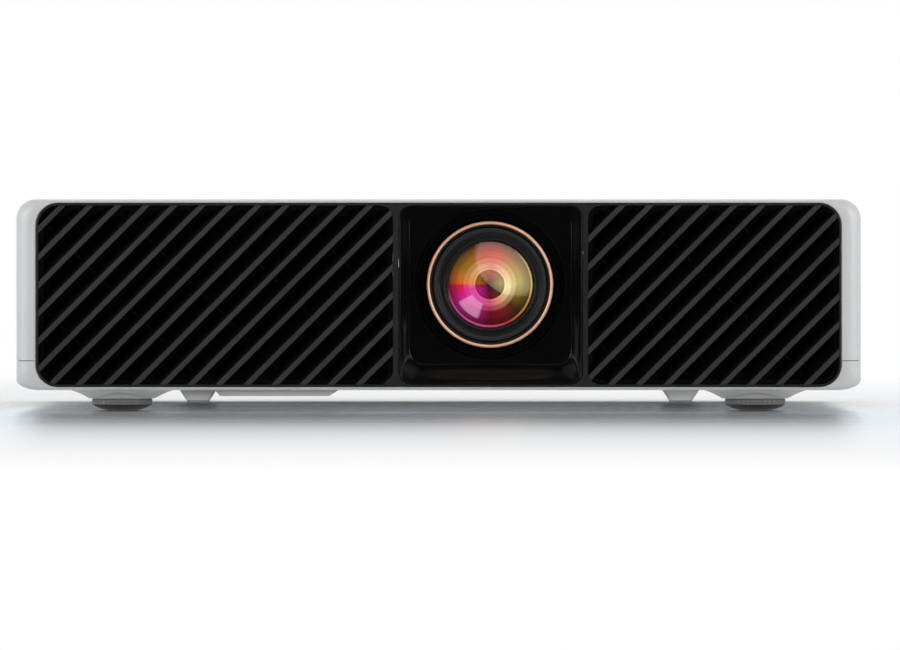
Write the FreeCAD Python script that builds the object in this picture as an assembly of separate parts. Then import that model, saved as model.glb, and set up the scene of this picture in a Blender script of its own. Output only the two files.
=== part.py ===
"""Home projector: a wide, low housing with two slatted front grilles and a lens set right of centre.

Millimetres, +Z up. The origin is on the surface that the projector stands on, under the housing's middle.
The lens looks along -Y, and +X is to the right for someone who looks at the lens.
Each function below makes one separate piece, and the table at the end gives every piece its node name.
"""

import FreeCAD, Part

import math
import os

V = FreeCAD.Vector

# ---- driving dimensions -------------------------------------------------------------------------

WIDTH = 400.0
DEPTH = 280.0
BODY_HEIGHT = 90.4
GROUND = 10.0  # clearance under the housing
WALL = 2.4
SPLIT_Z = 24.0  # height of the seam between the two case halves
SEAM = 0.3
FRONT_ROUND = 10.0  # how far back the front edge of the housing curves
REAR_ROUND = 6.0
REAR_WALL = 4.0

TOP = GROUND + BODY_HEIGHT
FRONT = -DEPTH / 2
BACK = DEPTH / 2
FLOOR = GROUND + WALL  # inner face of the housing's floor
CEILING = TOP - WALL  # inner face of the housing's roof
HALF = WIDTH / 2

FIT = 0.1  # gap between fixed pieces that slip together
RUNNING = 0.1  # radial gap around pieces that turn or slide

# Outlines of the housing from the front: half width, low z, high z, top radius, low radii in x and z.
PANEL_HALF, PANEL_LOW, PANEL_HIGH, PANEL_RADIUS = 190.2, 11.65, 98.5, 10.6
LIP = 0.6
FULL_OUTLINE = (HALF, GROUND, TOP, 9.4, 11.2, 5.0)
FRONT_OUTLINE = (
    PANEL_HALF + LIP, PANEL_LOW - LIP, PANEL_HIGH + LIP,
    PANEL_RADIUS + LIP, PANEL_RADIUS + LIP, PANEL_RADIUS + LIP,
)
REAR_OUTLINE = (HALF - REAR_ROUND, GROUND + 3.0, TOP - 4.0, 8.0, 9.0, 5.0)
INNER_OUTLINE = (HALF - WALL, FLOOR, CEILING, 7.0, 8.8, 2.6)

# Front frame and its three windows.
PLATE = 2.4
SKIRT_DEPTH = 14.0
SKIRT_WALL = 1.0
WINDOW_LOW, WINDOW_HIGH = 12.7, 97.45
LEFT_WINDOW = (-189.1, -21.5)
LENS_WINDOW = (-18.9, 68.2)
RIGHT_WINDOW = (70.6, 189.3)
OUTER_RADIUS = PANEL_RADIUS - 1.0
WINDOW_RADIUS = 6.1

# Diagonal slats, which follow lines of constant x - z right across both grilles.
SLAT_OFFSET = -235.3
SLAT_PITCH = 13.22  # along x
SLAT_FACE = 2.34
SLAT_DEPTH = 6.0
SLAT_RAMP = 3.3
RIB_OFFSET = -97.2  # cross ribs follow lines of constant x + z
RIB_PITCH = 41.08

# Lens. Distances along its axis, called a, are measured back from the housing's front plane.
LENS_X, LENS_Z = 24.3, 60.0
DISH_RADIUS = 36.0
RING_RADIUS = 30.0
BARREL_RADIUS = 27.0
BARREL_BORE = 25.5
GLASS_RADIUS = 21.0
POCKET_DEPTH = 11.0
ENGINE_A = 84.0  # where the lens flange meets the engine

# Illumination path, along X at the height of the lens.
LIGHT_Y = -26.0

# Front feet, which screw up and down.
FOOT_X, FOOT_Y = 151.0, -108.0
BOSS_TOP_RADIUS, BOSS_LOW_RADIUS, BOSS_LOW_Z = 25.5, 15.8, 5.75
DIAL_RADIUS, DIAL_LOW_Z, DIAL_TOP_Z = 14.4, 2.9, 5.6
STUD_RADIUS = 3.0
STUD_TOP_Z = 30.0
FLAT_RADIUS = 5.0  # of the pad's face on the floor
STEM_RADIUS = 2.0

REAR_FOOT_X, REAR_FOOT_Y = 123.0, 105.0
REAR_PAD = 1.0

MOUNT_X, MOUNT_Y = 125.0, (-50.0, 60.0)  # ceiling mount holes
MOUNT_BORE = 2.0

SCREW_SPOTS = ((-186.0, 118.0), (186.0, 118.0), (-186.0, -70.0), (186.0, -70.0), (-40.0, -112.0))

LAMP_DOOR_X, LAMP_DOOR_Y = (-109.0, -47.0), (-66.0, 24.0)
LAMP_DOOR_LOW = GROUND - 4.0

FAN_SIDE, FAN_DEPTH, FAN_A = 80.0, 25.0, 18.0
LEFT_FAN_X, RIGHT_FAN_X = -100.0, 100.0
FAN_Z = 54.0
BLADES = 7

ZOOM_A = 41.0
LEVER_TIP = 39.4  # radius that the zoom lever reaches

KEY_Y = 40.0
POWER_X, BACK_X, PAD_X, SOURCE_X = 74.0, 95.0, 124.0, 153.0
KEY_LENGTH, KEY_WIDTH, POWER_RADIUS, OK_RADIUS, PAD_RADIUS = 13.0, 7.0, 6.5, 6.0, 17.0
KEY_TOP = TOP - 0.1
KEY_RECESS = 0.5
KEY_FLANGE = (CEILING - 1.5, CEILING - 0.5)
STATUS_X, STATUS_Y = tuple(POWER_X + dx for dx in (-6.0, 0.0, 6.0)), KEY_Y - 16.0

BOARD = 1.6
BOARD_Z = 33.4  # underside of the main board
MAIN_BOARD_X, MAIN_BOARD_Y = (-158.0, 48.0), (52.0, 130.0)
POWER_BOARD_X, POWER_BOARD_Y, POWER_BOARD_Z = (66.0, 178.0), (0.0, 104.0), 22.4
BALLAST_X, BALLAST_Y, BALLAST_Z = (-176.0, -122.0), (-90.0, -10.0), 24.0
PANEL_Y = (133.4, 135.8)  # rear connector panel
HDMI_X = (-120.0, -96.0)
USB_X = (-70.0, -52.0)
VGA_X = -22.0
JACK_X = (8.0, 24.0)
INLET_X, INLET_Z = 140.0, 46.0


# ---- shape helpers ------------------------------------------------------------------------------


def box(x, y, z):
    """A box from three (low, high) spans."""
    return Part.makeBox(x[1] - x[0], y[1] - y[0], z[1] - z[0], V(x[0], y[0], z[0]))


def around(middle, size):
    """The span of that size about a middle."""
    return (middle - size / 2, middle + size / 2)


def rod_x(radius, y, z, span):
    return Part.makeCylinder(radius, span[1] - span[0], V(span[0], y, z), V(1, 0, 0))


def rod_y(radius, x, z, span):
    return Part.makeCylinder(radius, span[1] - span[0], V(x, span[0], z), V(0, 1, 0))


def rod_z(radius, x, y, span):
    return Part.makeCylinder(radius, span[1] - span[0], V(x, y, span[0]), V(0, 0, 1))


def joined(shapes):
    """One solid from shapes that touch or overlap."""
    first, *rest = shapes
    return first.fuse(rest).removeSplitter() if rest else first


def rounded_wire(u, v, radii, place):
    """A rectangle with its own radius at each corner, from (low u, low v) round by (high u, low v).
    place turns a (u, v) pair into a point."""
    corners = [(u[0], v[0], 1, 1), (u[1], v[0], -1, 1), (u[1], v[1], -1, -1), (u[0], v[1], 1, -1)]
    edges, starts, ends = [], [], []
    for (cu, cv, su, sv), r in zip(corners, radii):
        along_u, along_v = (cu + su * r, cv), (cu, cv + sv * r)
        k = r * (1 - math.sqrt(0.5))
        middle = (cu + su * k, cv + sv * k)
        first, last = (along_v, along_u) if su == sv else (along_u, along_v)
        starts.append(first)
        ends.append(last)
        if r > 0:
            edges.append(Part.Arc(place(*first), place(*middle), place(*last)).toShape())
    for i in range(4):
        edges.append(Part.LineSegment(place(*ends[i]), place(*starts[(i + 1) % 4])).toShape())
    return Part.Wire(Part.__sortEdges__(edges))


def four(radius):
    return (radius,) * 4


def prism_y(x, z, radii, span):
    """A rounded rectangle in X and Z, extruded along Y."""
    wire = rounded_wire(x, z, radii, lambda a, b: V(a, span[0], b))
    return Part.Face(wire).extrude(V(0, span[1] - span[0], 0))


def prism_z(x, y, radius, span):
    """A rounded rectangle in X and Y, extruded along Z."""
    wire = rounded_wire(x, y, four(radius), lambda a, b: V(a, b, span[0]))
    return Part.Face(wire).extrude(V(0, 0, span[1] - span[0]))


def prism_of(points, push):
    """A polygon through the points, extruded by push."""
    return Part.Face(Part.makePolygon(list(points) + [points[0]])).extrude(push)


def turned(points, place, origin, axis):
    """A closed profile turned through a full circle. A point is (radius, along), or
    (radius, along, middle radius, middle along) where an arc leads to it from the point before."""
    edges = []
    for before, point in zip([points[-1], *points[:-1]], points):
        a, b = place(*before[:2]), place(*point[:2])
        if len(point) == 4:
            edges.append(Part.Arc(a, place(*point[2:]), b).toShape())
        else:
            edges.append(Part.LineSegment(a, b).toShape())
    face = Part.Face(Part.Wire(Part.__sortEdges__(edges)))
    return face.revolve(origin, axis, 360)


def turned_x(points, y, z):
    return turned(points, lambda r, x: V(x, y + r, z), V(0, y, z), V(1, 0, 0))


def turned_z(points, x, y):
    return turned(points, lambda r, z: V(x + r, y, z), V(x, y, 0), V(0, 0, 1))


def lens_turned(points):
    """A piece turned about the lens axis, with its distances measured back from the front plane."""
    return turned(points, lambda r, a: V(LENS_X + r, FRONT + a, LENS_Z), V(LENS_X, 0, LENS_Z), V(0, 1, 0))


def cap(apex, edge, radius):
    """The middle point (radius, along) of a shallow lens surface that runs from its apex to its edge."""
    sag = edge - apex
    ball = (radius**2 + sag**2) / (2 * sag)
    middle = apex + ball - math.copysign(math.sqrt(ball**2 - (radius / 2) ** 2), ball)
    return radius / 2, middle


def element(radius, front_apex, front_edge, rear_edge, rear_apex):
    """Profile of a glass element, from its front apex out to its rim and back in."""
    front, rear = cap(front_apex, front_edge, radius), cap(rear_apex, rear_edge, radius)
    return [(0, front_apex), (radius, front_edge, *front), (radius, rear_edge), (0, rear_apex, *rear)]


def circle(count, radius):
    """(u, v) points evenly round a circle."""
    angles = [2 * math.pi * i / count for i in range(count)]
    return [(radius * math.cos(a), radius * math.sin(a)) for a in angles]


def softened(shape, radius, chosen):
    """shape with the edges that chosen picks rounded off."""
    return shape.makeFillet(radius, [e for e in shape.Edges if chosen(e)])


def lies_at(edge, axis, value):
    """Whether an edge lies wholly in the plane where that axis has that value."""
    b = edge.BoundBox
    low, high = {"x": (b.XMin, b.XMax), "y": (b.YMin, b.YMax), "z": (b.ZMin, b.ZMax)}[axis]
    return abs(low - value) < 1e-3 and abs(high - value) < 1e-3


def both_sides(make):
    """The same piece on the left and on the right."""
    return [make(-1), make(1)]


# ---- housing ------------------------------------------------------------------------------------


def corner(cx, cz, y, start, end):
    """A quarter of an ellipse or circle about (cx, cz), from centre + start to centre + end."""
    c, a, b = V(cx, y, cz), V(start[0], 0, start[1]), V(end[0], 0, end[1])
    if abs(a.Length - b.Length) < 1e-6:
        return Part.Arc(c + a, c + (a + b).normalize() * a.Length, c + b).toShape()
    long, short = (a, b) if a.Length > b.Length else (b, a)
    return Part.ArcOfEllipse(Part.Ellipse(c + long, c + short, c), 0, math.pi / 2).toShape()


def case_outline(y, half, low, high, top_r, low_rx, low_rz):
    """The housing's outline in the plane at y."""
    points = [
        (-half, low + low_rz), (-half, high - top_r), (-half + top_r, high), (half - top_r, high),
        (half, high - top_r), (half, low + low_rz), (half - low_rx, low), (-half + low_rx, low),
    ]
    at = [V(x, y, z) for x, z in points]
    edges = [Part.LineSegment(at[i], at[i + 1]).toShape() for i in (0, 2, 4, 6)]
    edges += [
        corner(-half + top_r, high - top_r, y, (-top_r, 0), (0, top_r)),
        corner(half - top_r, high - top_r, y, (0, top_r), (top_r, 0)),
        corner(half - low_rx, low + low_rz, y, (low_rx, 0), (0, -low_rz)),
        corner(-half + low_rx, low + low_rz, y, (0, -low_rz), (-low_rx, 0)),
    ]
    return Part.Wire(Part.__sortEdges__(edges))


def rounded_end(plane, inward, depth, end_outline):
    """The curved end of the housing, whose outline grows from end_outline to the full one."""
    steps = 6
    wires = []
    for i in range(steps + 1):
        angle = math.pi / 2 * i / steps
        grown = [a + (b - a) * math.sin(angle) for a, b in zip(end_outline, FULL_OUTLINE)]
        wires.append(case_outline(plane + inward * depth * (1 - math.cos(angle)), *grown))
    return Part.makeLoft(wires, True, False)


def case_solid():
    middle = Part.Face(case_outline(FRONT + FRONT_ROUND, *FULL_OUTLINE))
    middle = middle.extrude(V(0, DEPTH - FRONT_ROUND - REAR_ROUND, 0))
    front = rounded_end(FRONT, 1, FRONT_ROUND, FRONT_OUTLINE)
    rear = rounded_end(BACK, -1, REAR_ROUND, REAR_OUTLINE)
    return joined([middle, front, rear])


def panel_prism(gap, span):
    """The front panel's outline grown by gap, between two distances behind the front plane."""
    x = (-PANEL_HALF - gap, PANEL_HALF + gap)
    z = (PANEL_LOW - gap, PANEL_HIGH + gap)
    return prism_y(x, z, four(PANEL_RADIUS + gap), (FRONT + span[0], FRONT + span[1]))


def case_shell():
    cavity_start, rear_window = 8.0, ((-168.0, 168.0), (27.0, 86.0))  # behind the front plane; x and z
    cavity = Part.Face(case_outline(FRONT + cavity_start, *INNER_OUTLINE))
    cavity = cavity.extrude(V(0, DEPTH - cavity_start - REAR_WALL, 0))
    opening = panel_prism(0.15, (-1.0, SKIRT_DEPTH + 1.5))
    rebate = panel_prism(0.5, (-1.0, 0.3))  # a fine step round the front panel
    rear = prism_y(*rear_window, four(5.0), (BACK - REAR_WALL - 1, BACK + 1))
    return case_solid().cut([cavity, opening, rebate, rear])


def side_slots(side):
    """Slanting vent slots through one side wall, which lean the same way as the front slats."""
    slots = []
    count, pitch, width, reach = 12, 9.0, 3.0, 18.0
    lean = V(0, side * reach, reach)
    for i in range(count):
        foot = V(side * (HALF - 2 * WALL), 12.0 + i * pitch - side * reach / 2, 43.0)
        across = V(0, width / math.sqrt(2), -side * width / math.sqrt(2)) * 0.5
        points = [foot - across, foot + across, foot + across + lean, foot - across + lean]
        push = V(side * 4 * WALL, 0, 0)
        slots.append(prism_of(points, push))
        through = sorted((foot.x, foot.x + push.x))
        slots += [rod_x(width / 2, end.y, end.z, through) for end in (foot, foot + lean)]
    return joined(slots)


def round_key(x, radius):
    """A maker of a round button's prism, grown by a gap."""
    return lambda gap, span: rod_z(radius + gap, x, KEY_Y, span)


def long_key(x):
    """A maker of a long button's prism, grown by a gap."""
    return lambda gap, span: prism_z(
        around(x, KEY_LENGTH + 2 * gap), around(KEY_Y, KEY_WIDTH + 2 * gap), KEY_WIDTH / 2 - 0.1 + gap, span
    )


def roof_holes():
    return [
        round_key(POWER_X, POWER_RADIUS), long_key(BACK_X), round_key(PAD_X, PAD_RADIUS), long_key(SOURCE_X)
    ]


def zoom_recess(grow, floor_z):
    """The finger recess in the roof above the zoom lever."""
    return prism_z(
        around(LENS_X, 46 + 2 * grow), around(FRONT + ZOOM_A, 20 + 2 * grow), 8.0 + grow, (floor_z, TOP + 1)
    )


def top_cover():
    keep = box((-HALF - 1, HALF + 1), (FRONT - 1, BACK + 1), (SPLIT_Z + SEAM / 2, TOP + 1))
    cover = case_shell().common(keep)
    post_low, post_bore_top = SPLIT_Z + 2.2, 42.0
    posts = [rod_z(4.0, x, y, (post_low, CEILING + 0.5)) for x, y in SCREW_SPOTS]
    recess_floor, pan_low = TOP - 6.0, TOP - 7.8
    pan = zoom_recess(1.6, pan_low).common(box((-HALF, HALF), (FRONT, BACK), (0, CEILING + 0.5)))
    cover = cover.fuse([*posts, pan])
    cuts = [zoom_recess(0, recess_floor)]
    cuts.append(prism_z(around(LENS_X, 28), around(FRONT + ZOOM_A, 6.6), 3.2, (pan_low - 1, TOP)))
    for make in roof_holes():
        cuts += [make(0.3, (CEILING - 1, TOP + 1)), make(2.3, (TOP - KEY_RECESS, TOP + 1))]
    cuts += [rod_z(1.1, x, STATUS_Y, (CEILING - 1, TOP + 1)) for x in STATUS_X]
    cuts += [rod_z(1.55, x, y, (post_low - 1, post_bore_top)) for x, y in SCREW_SPOTS]
    cuts += both_sides(side_slots)
    lock_slot = prism_y((177.0, 184.0), (34.0, 37.0), four(1.0), (BACK - 2 * REAR_WALL, BACK + 1))
    cuts.append(lock_slot)
    return cover.cut(cuts)


def foot_boss(side):
    """The flared pedestal over a front foot, with the post inside that holds the threaded bush."""
    flank_middle = (20.6, 8.25)
    x = side * FOOT_X
    boss = turned_z(
        [(0, BOSS_LOW_Z), (BOSS_LOW_RADIUS, BOSS_LOW_Z), (BOSS_TOP_RADIUS, GROUND, *flank_middle),
         (BOSS_TOP_RADIUS, GROUND + 1), (0, GROUND + 1)], x, FOOT_Y
    )
    return boss.fuse(rod_z(8.0, x, FOOT_Y, (GROUND, 33.0)))


def foot_bore(side):
    """What a front foot's boss leaves open: the stud's way, the bush's seat and a finger scallop."""
    x = side * FOOT_X
    bore = rod_z(STUD_RADIUS + 0.4, x, FOOT_Y, (BOSS_LOW_Z - 1, STUD_TOP_Z + 1))
    bush = rod_z(5.0 + FIT, x, FOOT_Y, (12.0, 24.0))
    arch = 23.6 / 2
    rise = 2.8
    ball = (arch**2 + rise**2) / (2 * rise)
    reach = (FOOT_Y - BOSS_TOP_RADIUS, FOOT_Y - BOSS_LOW_RADIUS + 5)
    scallop = rod_y(ball, x, BOSS_LOW_Z + rise - ball, reach)
    return joined([bore, bush]), scallop


def bottom_case():
    keep = box((-HALF - 1, HALF + 1), (FRONT - 1, BACK + 1), (0, SPLIT_Z - SEAM / 2))
    case = case_shell().common(keep)
    lip_high, lip_wall, lip_y = SPLIT_Z + 3, 1.2, (-126.0, 122.0)
    inner = HALF - WALL - 0.15
    adds = []
    for side in (-1, 1):
        tongue = sorted((side * inner, side * (inner - lip_wall)))
        root = sorted((side * (inner + 0.3), side * (inner - lip_wall)))
        adds += [box(tongue, lip_y, (16.0, lip_high)), box(root, lip_y, (16.0, SPLIT_Z - 0.4))]
        adds.append(foot_boss(side))
        adds += [rod_z(6.0, side * MOUNT_X, y, (GROUND + 1, 20.0)) for y in MOUNT_Y]
    adds += [rod_z(5.0, x, y, (GROUND + 1, SPLIT_Z + 2)) for x, y in SCREW_SPOTS]
    adds.append(rod_z(4.0, *lamp_screw_spot(), (GROUND + 1, 17.0)))
    for x, y, z in ((BALLAST_X, BALLAST_Y, BALLAST_Z), (POWER_BOARD_X, POWER_BOARD_Y, POWER_BOARD_Z),
                    (MAIN_BOARD_X, MAIN_BOARD_Y, BOARD_Z)):
        edge = 5.0
        adds += [rod_z(3.0, px, py, (GROUND + 1, z - FIT))
                 for px in (x[0] + edge, x[1] - edge) for py in (y[0] + edge, y[1] - edge)]
    case = case.fuse(adds)
    cuts = []
    for side in (-1, 1):
        cuts += foot_bore(side)
        cuts += [rod_z(4.0 + FIT, side * MOUNT_X, y, (GROUND - 1, 18.0)) for y in MOUNT_Y]
    for x, y in SCREW_SPOTS:
        cuts += [rod_z(3.4, x, y, (GROUND - 1, 16.0)), rod_z(1.7, x, y, (15.0, SPLIT_Z + 3))]
    hatch = (LAMP_DOOR_X[0] + 4, LAMP_DOOR_X[1] - 4), (LAMP_DOOR_Y[0] + 4, LAMP_DOOR_Y[1] - 12)
    cuts.append(prism_z(*hatch, 3.0, (GROUND - 1, FLOOR + 1)))
    cuts.append(rod_z(1.55, *lamp_screw_spot(), (GROUND - 1, 16.0)))
    for x, y in floor_vents():
        cuts.append(prism_z(around(x, 3.0), around(y, 34.0), 1.4, (GROUND - 1, FLOOR + 1)))
    return case.cut(cuts)


def floor_vents():
    """Middles of the slots in the floor, under the power supply and under the main board."""
    spots = [(x, 20.0) for x in [i * 8.0 for i in range(10, 21)]]
    return spots + [(x, 88.0) for x in [i * 8.0 for i in range(-10, 3)]]


def lamp_screw_spot():
    return (sum(LAMP_DOOR_X) / 2, LAMP_DOOR_Y[1] - 6.0)


def lamp_door():
    """The raised plate under the lamp, with a chamfer along each short end."""
    (x0, x1), (y0, y1) = LAMP_DOOR_X, LAMP_DOOR_Y
    high, low, left_cut, right_cut = GROUND - 0.05, LAMP_DOOR_LOW, 3.0, 6.0
    points = [V(x0, y0, high), V(x0 + left_cut, y0, low), V(x1 - right_cut, y0, low), V(x1, y0, high)]
    door = prism_of(points, V(0, y1 - y0, 0))
    key = prism_z((x0 + 6, x1 - 6), (y0 + 6, y1 - 14), 2.0, (low + 0.5, FLOOR))
    door = door.fuse(key)
    x, y = lamp_screw_spot()
    grooves, pitch, sunk = 5, 3.0, (low - 1, low + 0.7)
    grip = [box(around(x, 24.0), around(y0 + 7 + i * pitch, 1.4), sunk) for i in range(grooves)]
    return door.cut([rod_z(1.7, x, y, (low - 1, high + 1)), rod_z(3.4, x, y, (low - 1, low + 1.6)), *grip])


def screw(x, y, head_low, head_high, tip):
    """A cross-head screw that points up."""
    shape = joined([rod_z(2.9, x, y, (head_low, head_high)), rod_z(1.5, x, y, (head_high, tip))])
    span, slot, sunk = 3.4, 0.7, (head_low - 1, head_low + 1.0)
    bars = [box(around(x, w), around(y, d), sunk) for w, d in ((span, slot), (slot, span))]
    return shape.cut(bars)


def case_screws():
    """Five screws up through the case, and the shorter one that holds the lamp door."""
    screws = [screw(x, y, 13.8, 16.0, 38.0) for x, y in SCREW_SPOTS]
    screws.append(screw(*lamp_screw_spot(), LAMP_DOOR_LOW, LAMP_DOOR_LOW + 1.6, 15.5))
    return Part.makeCompound(screws)


def front_frame():
    """The dark bezel that carries both grilles and the lens surround."""
    frame = panel_prism(0, (0, SKIRT_DEPTH)).cut(panel_prism(-SKIRT_WALL, (PLATE, SKIRT_DEPTH + 1)))
    frame = softened(frame, 0.4, lambda e: lies_at(e, "y", FRONT))
    return frame.cut([window(name, 0, (-1, PLATE + 1)) for name in ("left", "lens", "right")])


def window(name, inset, span):
    """One of the frame's windows drawn in by inset, between two distances behind the front plane."""
    spans = {"left": LEFT_WINDOW, "lens": LENS_WINDOW, "right": RIGHT_WINDOW}
    left, right = (OUTER_RADIUS if name == "left" else WINDOW_RADIUS), (
        OUTER_RADIUS if name == "right" else WINDOW_RADIUS
    )
    x, z = (spans[name][0] + inset, spans[name][1] - inset), (WINDOW_LOW + inset, WINDOW_HIGH - inset)
    radii = [r - inset for r in (left, right, right, left)]
    return prism_y(x, z, radii, (FRONT + span[0], FRONT + span[1]))


def slat(line):
    """One slat: a narrow flat face, a steep wall under it and a long ramp above it."""
    along, up = V(1, 0, 1) / math.sqrt(2), V(-1, 0, 1) / math.sqrt(2)
    middle = -line / math.sqrt(2)
    half, edge = SLAT_FACE / 2, 0.25
    section = [
        (middle - half, edge), (middle - half + edge, 0), (middle + half - edge, 0), (middle + half, edge),
        (middle + half + SLAT_RAMP, SLAT_DEPTH), (middle - half + 0.4, SLAT_DEPTH),
    ]
    reach = 420.0
    points = [up * u + V(0, FRONT + a, 0) - along * reach for u, a in section]
    return prism_of(points, along * (2 * reach))


def grille(name):
    """A slatted grille with a recessed rim and cross ribs behind its slats."""
    spans = {"left": LEFT_WINDOW, "right": RIGHT_WINDOW}
    x0, x1 = spans[name]
    first = math.ceil((x0 - WINDOW_HIGH - SLAT_OFFSET) / SLAT_PITCH)
    last = math.floor((x1 - WINDOW_LOW - SLAT_OFFSET) / SLAT_PITCH)
    slats = [slat(SLAT_OFFSET + SLAT_PITCH * n) for n in range(first, last + 1)]
    clip = window(name, FIT, (0, SLAT_DEPTH))
    pieces = [s for s in (shape.common(clip) for shape in slats) if s.Volume > 15.0]
    rim = window(name, FIT, (3.0, 9.0)).cut(window(name, 2.4, (2.0, 10.0)))
    ribs = []
    reach, thick, rib_deep = 200.0, 1.0, (SLAT_DEPTH, SLAT_DEPTH + 2.4)
    down = V(1, 0, -1) / math.sqrt(2)
    across = V(1, 0, 1) / math.sqrt(2)
    for n in range(-4, 12):
        middle = across * ((RIB_OFFSET + RIB_PITCH * n) / math.sqrt(2)) + V(0, FRONT + rib_deep[0] - 0.2, 0)
        start = middle - down * reach
        half, end = across * (thick / 2), start + down * (2 * reach)
        points = [start - half, start + half, end + half, end - half]
        rib = prism_of(points, V(0, rib_deep[1] - rib_deep[0], 0)).common(window(name, FIT, (0, 10.0)))
        if rib.Volume > 1.0:
            ribs.append(rib)
    return rim.fuse(pieces + ribs)


def lens_surround():
    """The deep glossy pocket round the lens: sloping walls, a flat, and a round dish."""
    hole = RING_RADIUS + 1.2
    back, tube_back = POCKET_DEPTH + 2.2, POCKET_DEPTH + 6.0
    block = window("lens", FIT, (0, back))
    tube = rod_y(DISH_RADIUS + 2, LENS_X, LENS_Z, (FRONT + back - 1, FRONT + tube_back))
    tube = tube.common(window("lens", FIT, (0, tube_back)))
    place = lambda a: lambda u, v: V(u, FRONT + a, v)
    edge = 0.7
    outer = rounded_wire(
        (LENS_WINDOW[0] + edge, LENS_WINDOW[1] - edge), (WINDOW_LOW + edge, WINDOW_HIGH - edge),
        four(WINDOW_RADIUS - edge), place(0),
    )
    inner = rounded_wire((-13.7, 62.8), (22.7, 96.3), four(6.5), place(POCKET_DEPTH))
    funnel = Part.makeLoft([outer, inner], True, True)
    dish = lens_turned(
        [(0, POCKET_DEPTH - 0.2), (DISH_RADIUS + 0.24, POCKET_DEPTH - 0.2), (hole, POCKET_DEPTH + 4),
         (hole, tube_back + 1), (0, tube_back + 1)]
    )
    return block.fuse(tube).cut([funnel, dish])


def rear_panel():
    """The recessed plate that the connectors look out through, with slanting vents above them."""
    plate = prism_y((-171.0, 171.0), (SPLIT_Z + 1, 89.0), four(4.0), PANEL_Y)
    through = (PANEL_Y[0] - 1, PANEL_Y[1] + 1)
    low = BOARD_Z + BOARD
    cuts = [prism_y(around(x, 15.4), (low - 0.2, low + 5.9), four(0.8), through) for x in HDMI_X]
    cuts.append(prism_y(around(USB_X[0], 13.6), (low - 0.2, low + 6.1), four(0.6), through))
    cuts.append(prism_y(around(USB_X[1], 8.6), (low - 0.2, low + 4.4), four(1.0), through))
    cuts.append(prism_y(around(VGA_X, 17.4), (low + 1.7, low + 10.7), four(2.4), through))
    cuts += [rod_y(3.0, VGA_X + dx, low + 6.2, through) for dx in (-12.5, 12.5)]
    cuts += [rod_y(3.7, x, low + 5.0, through) for x in JACK_X]
    cuts.append(prism_y(around(INLET_X, 27.8), around(INLET_Z, 20.2), four(2.0), through))
    reach, width, pitch = 15.0, 3.0, 9.0
    for i in range(34):
        foot = V(-148.0 + i * pitch, through[0], 63.0)
        across = V(width / 2, 0, width / 2) / math.sqrt(2)
        lean = V(-reach, 0, reach)
        points = [foot - across, foot + across, foot + across + lean, foot - across + lean]
        cuts.append(prism_of(points, V(0, through[1] - through[0], 0)))
    return plate.cut(cuts)


# ---- feet ---------------------------------------------------------------------------------------


def foot_dial(side):
    """Finger dial with its stud, and a pocket below for the pad's stem."""
    x = side * FOOT_X
    dial = turned_z(
        [(0, DIAL_LOW_Z), (DIAL_RADIUS - 0.2, DIAL_LOW_Z), (DIAL_RADIUS, DIAL_LOW_Z + 0.3),
         (DIAL_RADIUS, DIAL_TOP_Z - 0.4), (DIAL_RADIUS - 0.4, DIAL_TOP_Z), (STUD_RADIUS, DIAL_TOP_Z),
         (STUD_RADIUS, STUD_TOP_Z - 0.6), (STUD_RADIUS - 0.6, STUD_TOP_Z), (0, STUD_TOP_Z)], x, FOOT_Y
    )
    span = (DIAL_LOW_Z - 1, DIAL_TOP_Z + 1)
    notches = [rod_z(0.45, x + u, FOOT_Y + v, span) for u, v in circle(36, DIAL_RADIUS + 0.15)]
    socket = rod_z(STEM_RADIUS + RUNNING, x, FOOT_Y, (DIAL_LOW_Z - 1, DIAL_LOW_Z + 2.0))
    return dial.cut([*notches, socket])


def foot_pad(side):
    """Domed rubber pad on a stem that turns freely in the dial."""
    x = side * FOOT_X
    top, rim = DIAL_LOW_Z - 0.1, DIAL_RADIUS - 0.2
    run = rim - FLAT_RADIUS
    ball = (run**2 + top**2) / (2 * top)
    bulge = (FLAT_RADIUS + run / 2, ball - math.sqrt(ball**2 - (run / 2) ** 2))
    pad = turned_z([(0, 0), (FLAT_RADIUS, 0), (rim, top, *bulge), (0, top)], x, FOOT_Y)
    return pad.fuse(rod_z(STEM_RADIUS, x, FOOT_Y, (top - 0.5, DIAL_LOW_Z + 1.9)))


def rear_foot(side):
    """Fixed tapered leg under the rear of the case."""
    x = side * REAR_FOOT_X
    top, low = 23.0, 11.8
    place = lambda z: lambda u, v: V(u, v, z)
    wires = [
        rounded_wire(around(x, size), around(REAR_FOOT_Y, size), four(1.6), place(z))
        for size, z in ((low, REAR_PAD), (top, GROUND - 0.05))
    ]
    return Part.makeLoft(wires, True, True)


def rear_foot_pad(side):
    x = side * REAR_FOOT_X
    return prism_z(around(x, 11.2), around(REAR_FOOT_Y, 11.2), 1.6, (0.0, REAR_PAD))


def brass_bushes():
    """Threaded bushes: two for the front feet's studs, and four for the screws of a ceiling bracket."""
    bushes = []
    for side in (-1, 1):
        foot = rod_z(5.0, side * FOOT_X, FOOT_Y, (12.0, 24.0))
        bushes.append(foot.cut(rod_z(STUD_RADIUS + 0.06, side * FOOT_X, FOOT_Y, (11.0, 25.0))))
        for y in MOUNT_Y:
            bush = rod_z(4.0, side * MOUNT_X, y, (GROUND, 18.0))
            bushes.append(bush.cut(rod_z(MOUNT_BORE, side * MOUNT_X, y, (GROUND - 1, 17.0))))
    return Part.makeCompound(bushes)


# ---- lens ---------------------------------------------------------------------------------------


def copper_trim():
    inner, outer, back, front = RING_RADIUS - 1.7, RING_RADIUS, 9.0, 6.8
    crown = ((inner + outer) / 2, front - 0.65)
    return lens_turned([(inner, front), (outer, front, *crown), (outer, back), (inner, back)])


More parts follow.
